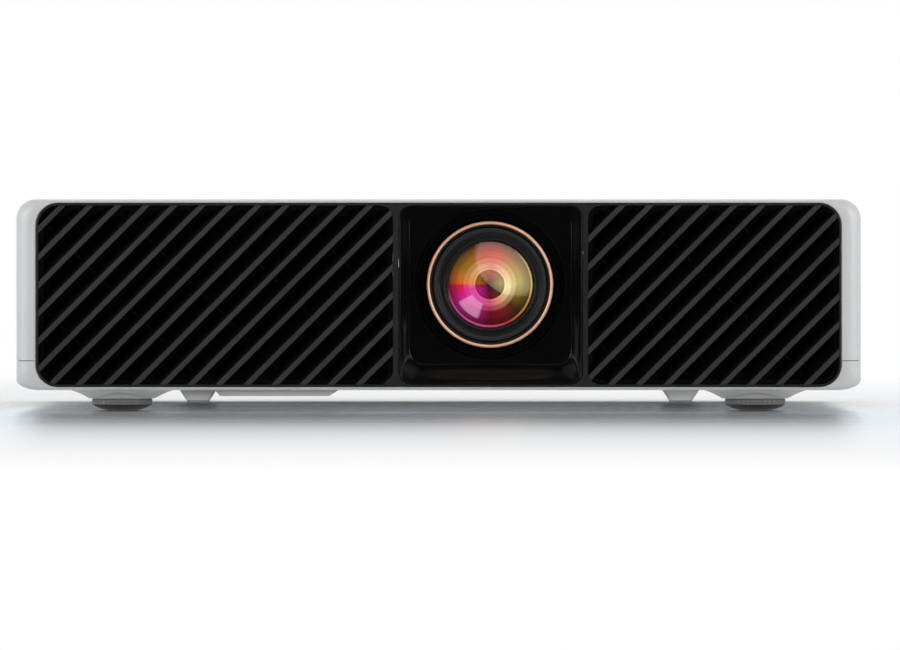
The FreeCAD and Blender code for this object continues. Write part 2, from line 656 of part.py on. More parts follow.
def focus_ring():
    inner = BARREL_RADIUS + RUNNING
    ring = lens_turned(
        [(RING_RADIUS, 9.05), (RING_RADIUS, 27.0), (inner, 27.0), (inner, 11.0), (inner + 0.7, 8.1),
         (RING_RADIUS - 1.78, 8.1), (RING_RADIUS - 1.78, 9.05)]
    )
    span = (FRONT + 10.4, FRONT + 26.0)
    return ring.cut([rod_y(0.45, LENS_X + u, LENS_Z + v, span) for u, v in circle(60, RING_RADIUS + 0.1)])


def front_cell():
    """Sliding cell that carries the two front elements. Its face is stepped like a lens baffle."""
    outer, back = BARREL_BORE - RUNNING, 34.0
    seat = GLASS_RADIUS + 0.05
    return lens_turned(
        [(BARREL_RADIUS, 10.2), (26.2, 9.2), (25.6, 9.2), (25.3, 9.9), (24.7, 9.9), (24.4, 9.4), (23.6, 9.9),
         (23.3, 10.8), (22.6, 10.8), (21.7, 12.2), (seat, 12.9), (seat, 16.6), (19.5, 16.6), (19.5, 21.0),
         (16.05, 21.0), (16.05, 28.4), (14.5, 28.4), (14.5, back), (outer, back), (outer, 14.0),
         (BARREL_RADIUS, 14.0)]
    )


def front_lenses():
    """The big front element and the smaller one behind it."""
    pair = [element(GLASS_RADIUS, 9.2, 13.0, 16.4, 12.4), element(16.0, 21.6, 23.6, 26.4, 28.2)]
    return Part.makeCompound([lens_turned(points) for points in pair])


def lens_barrel():
    """Fixed tube with the flange that bolts to the engine. Its narrow rear end holds the rear element."""
    barrel = lens_turned(
        [(BARREL_BORE, 20.0), (BARREL_RADIUS, 20.0), (BARREL_RADIUS, 80.2), (34.0, 80.2), (34.0, ENGINE_A),
         (11.5, ENGINE_A), (11.5, 82.0), (13.05, 82.0), (13.05, 72.0), (BARREL_BORE, 72.0)]
    )
    return barrel.cut([rod_y(1.6, x, z, (FRONT + 80, FRONT + ENGINE_A + 1)) for x, z in flange_spots()])


def flange_spots():
    reach = 30.5 / math.sqrt(2)
    return [(LENS_X + sx * reach, LENS_Z + sz * reach) for sx in (-1, 1) for sz in (-1, 1)]


def lens_screws():
    screws = []
    for x, z in flange_spots():
        head, shank = (FRONT + 78.0, FRONT + 80.2), (FRONT + 80.2, FRONT + ENGINE_A + 2.8)
        screws.append(joined([rod_y(2.6, x, z, head), rod_y(1.5, x, z, shank)]))
    return Part.makeCompound(screws)


def zoom_ring():
    """Ring with the lever that reaches up into the recess in the roof."""
    inner, outer = BARREL_RADIUS + RUNNING, 29.6
    ring = lens_turned([(inner, 33.0), (outer, 33.0), (outer, 49.0), (inner, 49.0)])
    y = FRONT + ZOOM_A
    lever = box(around(LENS_X, 6.0), around(y, 5.0), (LENS_Z + outer - 1.0, LENS_Z + LEVER_TIP))
    lever = softened(lever, 1.0, lambda e: e.BoundBox.ZMin > LENS_Z + outer)
    return ring.fuse(lever)


def zoom_cell():
    outer = BARREL_BORE - RUNNING
    seat, lip = 14.05, 12.5
    return lens_turned(
        [(outer, 44.0), (outer, 62.0), (lip, 62.0), (lip, 59.0), (seat, 59.0), (seat, 47.0), (17.0, 44.0)]
    )


def zoom_glass():
    return lens_turned(element(14.0, 47.2, 49.4, 57.0, 58.9))


def rear_glass():
    return lens_turned(element(13.0, 73.0, 75.4, 80.6, 81.9))


# ---- light engine -------------------------------------------------------------------------------

ENGINE_X = around(LENS_X, 68.0)
ENGINE_Y = (FRONT + ENGINE_A, 4.0)
ENGINE_Z = (27.0, 93.0)
ENGINE_WALL = 3.0
LID = 2.0
RELAY_BORE = 9.05


def engine_housing():
    """Cast box that holds the prism, the mirror chip and the relay lenses in line with the lens."""
    inside = [(low + ENGINE_WALL, high - ENGINE_WALL) for low, high in (ENGINE_X, ENGINE_Y)]
    shell = box(ENGINE_X, ENGINE_Y, (ENGINE_Z[0], ENGINE_Z[1] - LID))
    shell = shell.cut(box(*inside, (ENGINE_Z[0] + ENGINE_WALL, ENGINE_Z[1])))
    relay = rod_x(RELAY_BORE + 2.4, LIGHT_Y, LENS_Z, (ENGINE_X[0] + 1, 9.0))
    shelf = box((11.0, 37.6), (LIGHT_Y - 13.0, LIGHT_Y + 13.0), (ENGINE_Z[0] + 1, LENS_Z - 13.1))
    shell = shell.fuse([relay, shelf])
    cuts = [
        rod_y(11.0, LENS_X, LENS_Z, (ENGINE_Y[0] - 1, ENGINE_Y[0] + ENGINE_WALL + 1)),
        rod_x(RELAY_BORE, LIGHT_Y, LENS_Z, (ENGINE_X[0] + ENGINE_WALL, 10.0)),
        rod_x(5.0, LIGHT_Y, LENS_Z, (ENGINE_X[0] - 1, ENGINE_X[0] + ENGINE_WALL + 1)),
        box(around(LENS_X, 26.0), (ENGINE_Y[1] - ENGINE_WALL - 1, ENGINE_Y[1] + 1), around(LENS_Z, 20.0)),
    ]
    cuts += [rod_y(1.55, x, z, (ENGINE_Y[0] - 1, ENGINE_Y[0] + ENGINE_WALL + 1)) for x, z in flange_spots()]
    return shell.cut(cuts)


def engine_lid():
    return box(ENGINE_X, ENGINE_Y, (ENGINE_Z[1] - LID, ENGINE_Z[1]))


def engine_optics():
    """Two relay lenses, and two prism wedges with a thin air gap between their long faces."""
    side, gap = 26.0, 0.2
    x, y = around(LENS_X, side), around(LIGHT_Y, side)
    push = V(0, 0, side)
    z = LENS_Z - side / 2
    near = prism_of([V(x[0], y[0], z), V(x[1] - gap, y[0], z), V(x[0], y[1] - gap, z)], push)
    far = prism_of([V(x[1], y[1], z), V(x[0] + gap, y[1], z), V(x[1], y[0] + gap, z)], push)
    pair = [element(9.0, -6.4, -5.0, -3.4, -2.0), element(9.0, 0.0, 1.6, 4.2, 6.4)]
    return Part.makeCompound([near, far, *[turned_x(points, LIGHT_Y, LENS_Z) for points in pair]])


def chip_board():
    """Board behind the engine with the mirror chip on it."""
    board = box(around(LENS_X, 64.0), (4.1, 4.1 + BOARD), around(LENS_Z, 56.0))
    chip = box(around(LENS_X, 25.6), (0.6, 4.2), around(LENS_Z, 19.6))
    return board.fuse(chip.cut(box(around(LENS_X, 16.0), (0, 1.4), around(LENS_Z, 10.0))))


def chip_heat_sink():
    base_y, fin_y, width, height = (5.8, 9.8), (9.8, 30.0), 46.0, 44.0
    pieces = [box(around(LENS_X, width), base_y, around(LENS_Z, height))]
    fins, thick = 10, 1.4
    for i in range(fins):
        x = LENS_X - width / 2 + thick / 2 + i * (width - thick) / (fins - 1)
        pieces.append(box(around(x, thick), (fin_y[0] - 0.5, fin_y[1]), around(LENS_Z, height)))
    return joined(pieces)


def light_tunnel():
    x = (-46.0, ENGINE_X[0] - 0.1)
    return box(x, around(LIGHT_Y, 10.0), around(LENS_Z, 8.0)).cut(
        box((x[0] - 1, x[1] + 1), around(LIGHT_Y, 7.0), around(LENS_Z, 5.2))
    )


WHEEL_X = -54.0
WHEEL_Y = LIGHT_Y + 16.0
MOTOR_RADIUS = 9.0


def optical_base():
    """Plate with the posts that hold the light tunnel and the colour wheel's motor."""
    plate = box((-66.2, ENGINE_X[0] - 0.1), (-50.0, 14.0), (ENGINE_Z[0], ENGINE_Z[0] + 3))
    low = ENGINE_Z[0] + 2
    tunnel_post = box((-38.0, -24.0), around(LIGHT_Y, 12.0), (low, LENS_Z - 4.1))
    motor_post = box((-66.0, -58.0), around(WHEEL_Y, 8.0), (low, LENS_Z - MOTOR_RADIUS - 0.1))
    legs = [rod_z(4.0, x, y, (FLOOR + FIT, ENGINE_Z[0] + 1)) for x in (-44.0, -18.0) for y in (-45.0, 9.0)]
    return joined([plate, tunnel_post, motor_post, *legs])


def color_wheel():
    """Glass disc clamped on its hub."""
    bore, clamp = 8.0, 9.5
    disc = rod_x(22.0, WHEEL_Y, LENS_Z, around(WHEEL_X, 1.0))
    disc = disc.cut(rod_x(bore, WHEEL_Y, LENS_Z, around(WHEEL_X, 3.0)))
    back, rear_face, front_face, nose = -56.6, WHEEL_X - 0.55, WHEEL_X + 0.55, -52.0
    hub = turned_x(
        [(0, back), (clamp, back), (clamp, rear_face), (bore - 0.05, rear_face), (bore - 0.05, front_face),
         (clamp, front_face), (clamp, nose), (0, nose)], WHEEL_Y, LENS_Z
    )
    return Part.makeCompound([disc, hub])


def color_wheel_motor():
    return rod_x(MOTOR_RADIUS, WHEEL_Y, LENS_Z, (-66.0, -57.2))


def lamp_housing():
    """Open-fronted cage round the lamp, with slots for cooling air. It comes out through the lamp door."""
    x, y, z, wall = (-103.5, -66.8), around(LIGHT_Y, 60.0), (13.0, 90.0), 1.6
    inside = (x[0] + wall, x[1] + 1), (y[0] + wall, y[1] - wall), (z[0] + wall, z[1] - wall)
    cage = box(x, y, z).cut(box(*inside))
    slots = [box((x[0] + 6, x[1] - 6), (y[0] - 1, y[1] + 1), around(36.0 + 8 * i, 3.0)) for i in range(7)]
    return cage.cut(slots)


def lamp():
    """Bowl reflector whose mouth faces the colour wheel, and the quartz tube at its focus."""
    wall = 1.4
    mouth_r, mouth, neck_r, neck, tail = 24.0, -69.0, 5.0, -95.0, -101.5
    bowl = turned_x(
        [(mouth_r, mouth), (neck_r, neck, 18.2, -87.0), (neck_r, tail), (neck_r + wall, tail),
         (neck_r + wall, neck - 0.8), (mouth_r + wall, mouth, 19.4, -88.0)], LIGHT_Y, LENS_Z
    )
    tube = turned_x(
        [(0, -101.0), (3.0, -101.0), (3.0, -93.0), (3.0, -83.0, 5.6, -88.0), (2.2, -82.5), (2.2, -76.0),
         (0, -76.0)], LIGHT_Y, LENS_Z
    )
    return Part.makeCompound([bowl, tube])


# ---- cooling ------------------------------------------------------------------------------------


def fan_frame(x):
    """Square fan frame. Its struts carry the motor plate behind the rotor."""
    y = (FRONT + FAN_A, FRONT + FAN_A + FAN_DEPTH)
    bore, plate = 38.4, (y[1] - 3.0, y[1])
    frame = prism_y(around(x, FAN_SIDE), around(FAN_Z, FAN_SIDE), four(4.0), y)
    frame = frame.cut(rod_y(bore, x, FAN_Z, (y[0] - 1, y[1] + 1)))
    reach, span = 35.7, (y[0] - 1, y[1] + 1)
    holes = [rod_y(2.1, x + dx, FAN_Z + dz, span) for dx in (-reach, reach) for dz in (-reach, reach)]
    motor = rod_y(16.0, x, FAN_Z, plate)
    struts = []
    for i in range(4):
        strut = box((x, x + bore + 0.8), plate, around(FAN_Z, 4.0))
        struts.append(strut.rotate(V(x, 0, FAN_Z), V(0, 1, 0), 45 + 90 * i))
    return frame.fuse([motor, *struts]).cut(holes)


def fan_rotor(x):
    """Hub with pitched blades."""
    y = (FRONT + FAN_A + 1.5, FRONT + FAN_A + FAN_DEPTH - 4.0)
    hub_radius, tip, chord, pitch = 17.0, 37.4, 24.0, 38.0
    middle = sum(y) / 2
    hub = softened(rod_y(hub_radius, x, FAN_Z, y), 1.5, lambda e: lies_at(e, "y", y[0]))
    band = rod_y(tip, x, FAN_Z, y)
    blades = []
    for i in range(BLADES):
        blade = box((x + hub_radius - 2, x + tip + 2), around(middle, 1.5), around(FAN_Z, chord))
        blade = blade.rotate(V(x, middle, FAN_Z), V(1, 0, 0), pitch)
        blade = blade.rotate(V(x, 0, FAN_Z), V(0, 1, 0), 360.0 * i / BLADES)
        blades.append(blade.common(band))
    return hub.fuse(blades)


def dust_filter():
    """Foam pads in thin frames, one behind each grille, where the fans draw air in."""
    z, y = (15.0, 95.5), (FRONT + 9.4, FRONT + 13.4)
    return Part.makeCompound([prism_y(x, z, four(8.0), y) for x in ((-187.7, -22.9), (72.0, 188.0))])


# ---- electronics --------------------------------------------------------------------------------


def main_board():
    """Signal board: bare board, processors, a finned heat sink, capacitors and a header."""
    top = BOARD_Z + BOARD
    base = top - 0.5
    sink_x, sink_y, sink = -60.0, 84.0, 28.0
    pieces = [box(MAIN_BOARD_X, MAIN_BOARD_Y, (BOARD_Z, top))]
    chips = (
        (sink_x, sink_y, 24.0, 2.6), (-104.0, 80.0, 18.0, 2.0),
        (6.0, 84.0, 16.0, 1.8), (-20.0, 70.0, 12.0, 1.6),
    )
    pieces += [box(around(x, side), around(y, side), (base, top + high)) for x, y, side, high in chips]
    pieces.append(box(around(sink_x, sink), around(sink_y, sink), (top + 2.0, top + 4.0)))
    for dx in range(-12, 13, 4):
        pieces.append(box(around(sink_x + dx, 1.4), around(sink_y, sink), (top + 2.4, top + 14.0)))
    pieces += [rod_z(3.2, -140.0 + i * 9.0, 62.0, (base, top + 8.0)) for i in range(4)]
    pieces.append(box(around(20.0, 20.0), around(58.0, 5.0), (base, top + 6.0)))
    return joined(pieces)


def data_sockets():
    """Two HDMI sockets and two USB ones: steel shells with a tongue inside."""
    low, y, wall = BOARD_Z + BOARD + 0.05, (PANEL_Y[1] - 13.5, PANEL_Y[1] - 0.2), 0.45
    sockets = []
    sizes = [(x, 15.0, 5.6, 11.6, 1.2) for x in HDMI_X]
    sizes += [(USB_X[0], 13.2, 5.8, 11.0, 1.8), (USB_X[1], 8.2, 4.0, 5.0, 1.2)]
    for x, width, height, tongue_w, tongue_h in sizes:
        middle = low + height / 2
        shell = prism_y(around(x, width), around(middle, height), four(0.6), y)
        open_w, open_h = width - 2 * wall, height - 2 * wall
        mouth = prism_y(around(x, open_w), around(middle, open_h), four(0.3), (y[1] - 11.5, y[1] + 1))
        tongue = box(around(x, tongue_w), (y[1] - 12.0, y[1] - 1.4), around(middle, tongue_h))
        sockets.append(shell.cut(mouth).fuse(tongue))
    return Part.makeCompound(sockets)


def vga_socket():
    """D-shaped video socket with its two hexagonal posts."""
    low, y = BOARD_Z + BOARD + 0.05, (PANEL_Y[0] - 12.0, PANEL_Y[1] - 0.2)
    z = low + 6.2
    body = box(around(VGA_X, 31.0), (y[0], PANEL_Y[0] - 0.2), (low, low + 12.4))
    shell = prism_y(around(VGA_X, 16.8), around(z, 8.4), four(2.2), (y[0] + 2, y[1]))
    mouth = prism_y(around(VGA_X, 15.8), around(z, 7.4), four(1.8), (y[1] - 5.0, y[1] + 1))
    pins = []
    for row in range(3):
        for i in range(5):
            x = VGA_X - 4.6 + i * 2.3 - (0.6 if row == 1 else 0)
            pins.append(rod_y(0.35, x, z + (row - 1) * 2.0, (y[1] - 5.5, y[1] - 0.8)))
    posts = []
    for dx in (-12.5, 12.5):
        ring = [V(VGA_X + dx + 2.8 * math.cos(a), PANEL_Y[0] - 1, z + 2.8 * math.sin(a))
                for a in [math.pi / 3 * i for i in range(6)]]
        post = prism_of(ring, V(0, y[1] - PANEL_Y[0] + 1, 0))
        posts.append(post.cut(rod_y(1.4, VGA_X + dx, z, (PANEL_Y[0] + 0.5, y[1] + 1))))
    return joined([body, shell]).cut(mouth).fuse(pins + posts)


def audio_jacks():
    low, y = BOARD_Z + BOARD + 0.05, (PANEL_Y[0] - 12.0, PANEL_Y[1] - 0.1)
    jacks = []
    for x in JACK_X:
        body = box(around(x, 11.0), (y[0], PANEL_Y[0] - 0.2), (low, low + 9.6))
        nose = rod_y(3.5, x, low + 4.95, (y[0] + 1, y[1]))
        jacks.append(body.fuse(nose).cut(rod_y(1.8, x, low + 4.95, (y[0] + 2, y[1] + 1))))
    return Part.makeCompound(jacks)


def power_inlet():
    """Three-pin mains inlet, chamfered along two corners of its recess."""
    y, mouth_y = (PANEL_Y[1] - 24.0, PANEL_Y[1] - 0.1), (PANEL_Y[1] - 16.0, PANEL_Y[1] + 1)
    body = prism_y(around(INLET_X, 27.4), around(INLET_Z, 19.8), four(1.8), y)
    half_w, half_h, cut = 12.2, 8.2, 4.0
    outline = [(-half_w, -half_h), (half_w, -half_h), (half_w, half_h - cut), (half_w - cut, half_h),
               (-half_w + cut, half_h), (-half_w, half_h - cut)]
    points = [V(INLET_X + u, mouth_y[0], INLET_Z + v) for u, v in outline]
    recess = prism_of(points, V(0, mouth_y[1] - mouth_y[0], 0))
    pins, pin_y = [], (mouth_y[0] - 1, PANEL_Y[1] - 3.0)
    for dx, dz in ((-7.0, 1.2), (7.0, 1.2), (0.0, 5.0)):
        pins.append(box(around(INLET_X + dx, 2.0), pin_y, around(INLET_Z + dz, 4.0)))
    return body.cut(recess).fuse(pins)


def power_board():
    """Power supply: board, transformer, coils, capacitors and two heat sinks."""
    top = POWER_BOARD_Z + BOARD
    pieces = [box(POWER_BOARD_X, POWER_BOARD_Y, (POWER_BOARD_Z, top))]
    pieces += [box(around(x, w), around(y, d), (top - 0.5, top + h)) for x, y, w, d, h in (
        (92.0, 74.0, 34.0, 30.0, 32.0), (152.0, 84.0, 26.0, 20.0, 26.0), (120.0, 20.0, 22.0, 18.0, 20.0),
        (112.0, 50.0, 4.0, 44.0, 34.0), (146.0, 40.0, 4.0, 44.0, 34.0),
    )]
    pieces += [rod_z(r, x, y, (top - 0.5, top + h)) for r, x, y, h in (
        (11.0, 128.0, 60.0, 36.0), (8.0, 164.0, 54.0, 28.0), (8.0, 164.0, 30.0, 28.0),
        (6.0, 82.0, 20.0, 22.0), (6.0, 98.0, 20.0, 22.0),
    )]
    return joined(pieces)


def lamp_ballast():
    top = BALLAST_Z + BOARD
    pieces = [box(BALLAST_X, BALLAST_Y, (BALLAST_Z, top))]
    pieces += [box((-170.0, -144.0), (-40.0, -16.0), (top - 0.5, top + 22.0))]
    pieces += [box((-138.0, -128.0), (-80.0, -20.0), (top - 0.5, top + 26.0))]
    pieces += [rod_z(7.0, -160.0, y, (top - 0.5, top + 18.0)) for y in (-78.0, -58.0)]
    return joined(pieces)


def speaker():
    """Speaker chamber against the left side slots, with its cone in the round opening."""
    x, y, z, wall = (-194.0, -168.0), (16.0, 104.0), (36.0, 84.0), 2.0
    inside = [(low + wall, high - wall) for low, high in (x, y, z)]
    middle_y, middle_z, mouth = sum(y) / 2, sum(z) / 2, 17.0
    hole = rod_x(mouth, middle_y, middle_z, (x[0] - 1, x[0] + wall + 1))
    chamber = box(x, y, z).cut([box(*inside), hole])
    cone = turned_x(
        [(0, -187.0), (6.0, -186.4), (14.5, -191.0), (mouth + 2, -191.0), (mouth + 2, -189.6),
         (14.5, -189.6), (6.6, -184.0), (6.6, -176.0), (0, -176.0)], middle_y, middle_z
    )
    return Part.makeCompound([chamber, cone])


# ---- keypad -------------------------------------------------------------------------------------


def key_board():
    """Small board under the roof with a dome switch below each button."""
    z = (CEILING - 5.6, CEILING - 4.0)
    board = box((58.0, 168.0), (KEY_Y - 22, KEY_Y + 22), z)
    spots = [(POWER_X, KEY_Y), (BACK_X, KEY_Y), (SOURCE_X, KEY_Y), (PAD_X, KEY_Y)]
    spots += [(PAD_X + dx * 12, KEY_Y + dy * 12) for dx, dy in ((1, 0), (-1, 0), (0, 1), (0, -1))]
    domes = [box(around(x, 5.0), around(y, 5.0), (z[1] - 0.4, z[1] + 1.4)) for x, y in spots]
    return joined([board, *domes])


def key(prism, flange=1.0):
    """A button: its cap, rounded at the top, and a flange that keeps it in the roof."""
    body = softened(prism(0, (KEY_FLANGE[0], KEY_TOP)), 0.3, lambda e: lies_at(e, "z", KEY_TOP))
    return body.fuse(prism(flange, KEY_FLANGE))


def ring_sector(low, high, span, turn):
    """A quarter of a ring about the middle of the arrow keys, with half a gap left at each side."""
    reach, gap = 30.0, 0.5 * math.sqrt(2)
    ring = rod_z(high, PAD_X, KEY_Y, span).cut(rod_z(low, PAD_X, KEY_Y, (span[0] - 1, span[1] + 1)))
    points = [(gap, 0), (reach, gap - reach), (reach, reach - gap)]
    wedge = prism_of([V(PAD_X + u, KEY_Y + v, span[0]) for u, v in points], V(0, 0, span[1] - span[0]))
    return ring.common(wedge.rotate(V(PAD_X, KEY_Y, 0), V(0, 0, 1), turn))


def arrow_key(turn):
    """A quarter of the ring round the OK button."""
    inner, seat = OK_RADIUS + 0.9, KEY_FLANGE[1]
    body = ring_sector(inner, PAD_RADIUS, (seat, KEY_TOP), turn)
    body = softened(body, 0.25, lambda e: lies_at(e, "z", KEY_TOP))
    return body.fuse(ring_sector(inner + 0.7, PAD_RADIUS + 1.3, KEY_FLANGE, turn))


def status_lights():
    """One clear light pipe with three small windows in the roof."""
    margin, low = 2.5, CEILING - 2.0
    bar = box((STATUS_X[0] - margin, STATUS_X[-1] + margin), around(STATUS_Y, 4.0), (low, CEILING - 0.1))
    return joined([bar, *[rod_z(1.0, x, STATUS_Y, (low + 1, TOP - 0.05)) for x in STATUS_X]])


# ---- every piece by node name -------------------------------------------------------------------

PIECES = {
    "top_cover": top_cover,
    "bottom_case": bottom_case,
    "front_frame": front_frame,
    "left_grille": lambda: grille("left"),
    "right_grille": lambda: grille("right"),
    "lens_surround": lens_surround,
    "rear_panel": rear_panel,
    "lamp_door": lamp_door,
    "case_screws": case_screws,
    "brass_bushes": brass_bushes,
    "left_foot_dial": lambda: foot_dial(-1),
    "right_foot_dial": lambda: foot_dial(1),
    "left_foot_pad": lambda: foot_pad(-1),
    "right_foot_pad": lambda: foot_pad(1),
    "rear_feet": lambda: Part.makeCompound(both_sides(rear_foot)),
    "rear_foot_pads": lambda: Part.makeCompound(both_sides(rear_foot_pad)),
    "copper_trim": copper_trim,
    "focus_ring": focus_ring,
    "front_cell": front_cell,
    "front_lenses": front_lenses,
    "lens_barrel": lens_barrel,
    "lens_screws": lens_screws,
    "zoom_ring": zoom_ring,
    "zoom_cell": zoom_cell,
    "zoom_glass": zoom_glass,
    "rear_glass": rear_glass,
    "engine_housing": engine_housing,
    "engine_lid": engine_lid,
    "engine_optics": engine_optics,
    "chip_board": chip_board,
    "chip_heat_sink": chip_heat_sink,
    "light_tunnel": light_tunnel,
    "optical_base": optical_base,
    "color_wheel": color_wheel,
    "color_wheel_motor": color_wheel_motor,
    "lamp_housing": lamp_housing,
    "lamp": lamp,
    "lamp_ballast": lamp_ballast,
    "left_fan_frame": lambda: fan_frame(LEFT_FAN_X),
    "left_fan_rotor": lambda: fan_rotor(LEFT_FAN_X),
    "right_fan_frame": lambda: fan_frame(RIGHT_FAN_X),
    "right_fan_rotor": lambda: fan_rotor(RIGHT_FAN_X),
    "dust_filter": dust_filter,
    "main_board": main_board,
    "data_sockets": data_sockets,
    "vga_socket": vga_socket,
    "audio_jacks": audio_jacks,
    "power_inlet": power_inlet,
    "power_board": power_board,
    "speaker": speaker,
    "key_board": key_board,
    "status_lights": status_lights,
    "power_button": lambda: key(round_key(POWER_X, POWER_RADIUS)),
    "back_button": lambda: key(long_key(BACK_X)),
    "source_button": lambda: key(long_key(SOURCE_X)),
    "ok_button": lambda: key(round_key(PAD_X, OK_RADIUS), 0.6),
    "right_button": lambda: arrow_key(0),
    "up_button": lambda: arrow_key(90),
    "left_button": lambda: arrow_key(180),
    "down_button": lambda: arrow_key(270),
}


def main():
    os.makedirs("parts", exist_ok=True)
    for name, make in PIECES.items():
        shape = make()
        if not shape.isValid() or not shape.Solids:
            raise SystemExit(f"{name} is not a valid solid")
        shape.exportStep(f"parts/{name}.step")


main()
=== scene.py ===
import math

import bpy
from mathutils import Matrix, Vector


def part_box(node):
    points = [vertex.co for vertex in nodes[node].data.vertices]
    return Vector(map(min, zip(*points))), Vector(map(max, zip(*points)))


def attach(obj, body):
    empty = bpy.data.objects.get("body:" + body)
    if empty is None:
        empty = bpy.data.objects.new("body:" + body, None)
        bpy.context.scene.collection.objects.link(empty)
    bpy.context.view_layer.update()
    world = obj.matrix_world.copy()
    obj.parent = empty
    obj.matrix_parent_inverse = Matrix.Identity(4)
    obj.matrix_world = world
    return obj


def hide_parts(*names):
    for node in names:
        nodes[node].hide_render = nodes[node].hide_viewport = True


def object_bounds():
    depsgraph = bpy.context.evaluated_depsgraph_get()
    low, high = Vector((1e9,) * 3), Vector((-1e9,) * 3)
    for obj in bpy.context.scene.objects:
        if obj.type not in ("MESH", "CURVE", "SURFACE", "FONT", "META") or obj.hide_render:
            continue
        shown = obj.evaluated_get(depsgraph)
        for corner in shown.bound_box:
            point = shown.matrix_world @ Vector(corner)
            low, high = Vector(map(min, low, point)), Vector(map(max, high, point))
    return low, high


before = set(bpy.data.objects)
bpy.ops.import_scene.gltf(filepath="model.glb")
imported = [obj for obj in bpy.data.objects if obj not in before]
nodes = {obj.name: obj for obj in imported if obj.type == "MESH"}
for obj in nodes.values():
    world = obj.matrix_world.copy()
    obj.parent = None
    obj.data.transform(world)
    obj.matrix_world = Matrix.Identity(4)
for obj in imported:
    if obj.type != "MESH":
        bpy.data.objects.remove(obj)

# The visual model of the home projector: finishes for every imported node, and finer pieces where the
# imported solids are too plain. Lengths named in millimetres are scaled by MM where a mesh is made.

cad_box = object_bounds()
scene = bpy.context.scene
MM = 0.001
TURN = 2 * math.pi

low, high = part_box("copper_trim")
LENS = Vector(((low.x + high.x) / 2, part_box("front_frame")[0].y, (low.z + high.z) / 2))


# ---- materials --------------------------------------------------------------------------------


class Look:
    """A Principled material, with short ways to add the nodes that vary it over a surface."""

    def __init__(self, name, color, rough, **fixed):
        self.mat = bpy.data.materials.new(name)
        self.mat.use_nodes = True
        self.tree = self.mat.node_tree
        self.bsdf = self.tree.nodes["Principled BSDF"]
        self.color = color
        self.bsdf.inputs["Base Color"].default_value = (*color, 1)
        self.bsdf.inputs["Roughness"].default_value = rough
        for name, value in fixed.items():
            self.bsdf.inputs[name.replace("_", " ")].default_value = value
        self.place = self.add("ShaderNodeTexCoord").outputs["Object"]

    def add(self, kind, **settings):
        node = self.tree.nodes.new(kind)
        for name, value in settings.items():
            setattr(node, name, value)
        return node

    def feed(self, node, **links):
        """Sets or links a node's inputs by name or by position (as _0, _1 ...), and returns the node."""
        for name, value in links.items():
            key = int(name[1:]) if name[0] == "_" else name.replace("_", " ")
            if isinstance(value, bpy.types.NodeSocket):
                self.tree.links.new(value, node.inputs[key])
            else:
                node.inputs[key].default_value = value
        return node

    def shifted(self, origin, stretch=(1, 1, 1)):
        """Coordinates measured from an origin, stretched along each axis."""
        node = self.feed(self.add("ShaderNodeMapping", vector_type="TEXTURE"), Vector=self.place)
        node.inputs["Location"].default_value = origin
        node.inputs["Scale"].default_value = stretch
        return node.outputs["Vector"]

    def noise(self, size, detail=2.0, vector=None):
        """Noise whose blobs are about size metres across."""
        node = self.feed(
            self.add("ShaderNodeTexNoise"), Vector=vector or self.place, Scale=1 / size, Detail=detail
        )
        return node.outputs["Fac"]

    def cells(self, size):
        """Distance to the middles of cells about size metres across."""
        node = self.feed(self.add("ShaderNodeTexVoronoi"), Vector=self.place, Scale=1 / size)
        return node.outputs["Distance"]

    def math(self, operation, *values):
        node = self.add("ShaderNodeMath", operation=operation)
        return self.feed(node, **{f"_{i}": v for i, v in enumerate(values)}).outputs[0]

    def span(self, value, low, high, start=0.3, end=0.7):
        """value from start..end brought to low..high."""
        node = self.feed(
            self.add("ShaderNodeMapRange"), Value=value, From_Min=start, From_Max=end, To_Min=low, To_Max=high
        )
        return node.outputs["Result"]

    def ramp(self, value, stops, blend="LINEAR"):
        node = self.feed(self.add("ShaderNodeValToRGB"), Fac=value)
        ramp = node.color_ramp
        ramp.interpolation = blend
        while len(ramp.elements) < len(stops):
            ramp.elements.new(1.0)
        for element, (position, color) in zip(ramp.elements, stops):
            element.position = position
            element.color = (*color, 1)
        return node.outputs["Color"]

    def mix(self, amount, a, b, blend="MIX"):
        node = self.add("ShaderNodeMix", data_type="RGBA", blend_type=blend)
        self.feed(node, _0=amount)
        for key, value in ((6, a), (7, b)):
            self.feed(node, **{f"_{key}": (*value, 1) if isinstance(value, tuple) else value})
        return node.outputs[2]

    def bump(self, height, depth, below=None):
        node = self.feed(self.add("ShaderNodeBump"), Height=height, Strength=1.0, Distance=depth)
        if below:
            self.feed(node, Normal=below)
        return node.outputs["Normal"]

    def set(self, **links):
        self.feed(self.bsdf, **links)
        return self


def tint(color, factor):
    """A lighter or darker colour."""
    return tuple(c * factor for c in color)


def moulded(name, color, rough, grain=0.5 * MM, depth=0.03 * MM, vary=0.05, **fixed):
    """Moulded plastic: a fine cast-in grain, faint cloudiness, and slightly uneven gloss."""
    look = Look(name, color, rough, **fixed)
    cloud = look.noise(45 * MM, 4.0)
    fine = look.noise(grain, 3.0)
    body = look.mix(look.span(cloud, 0, 1), tint(color, 1 - vary), tint(color, 1 + vary))
    body = look.mix(look.span(fine, 0, 0.5), body, tint(color, 0.86))
    uneven = look.math("ADD", look.span(cloud, -0.04, 0.04), look.span(fine, rough - 0.05, rough + 0.05))
    pits = look.math("ADD", fine, look.math("MULTIPLY", look.cells(1.6 * grain), 0.6))
    return look.set(Base_Color=body, Roughness=uneven, Normal=look.bump(pits, depth))


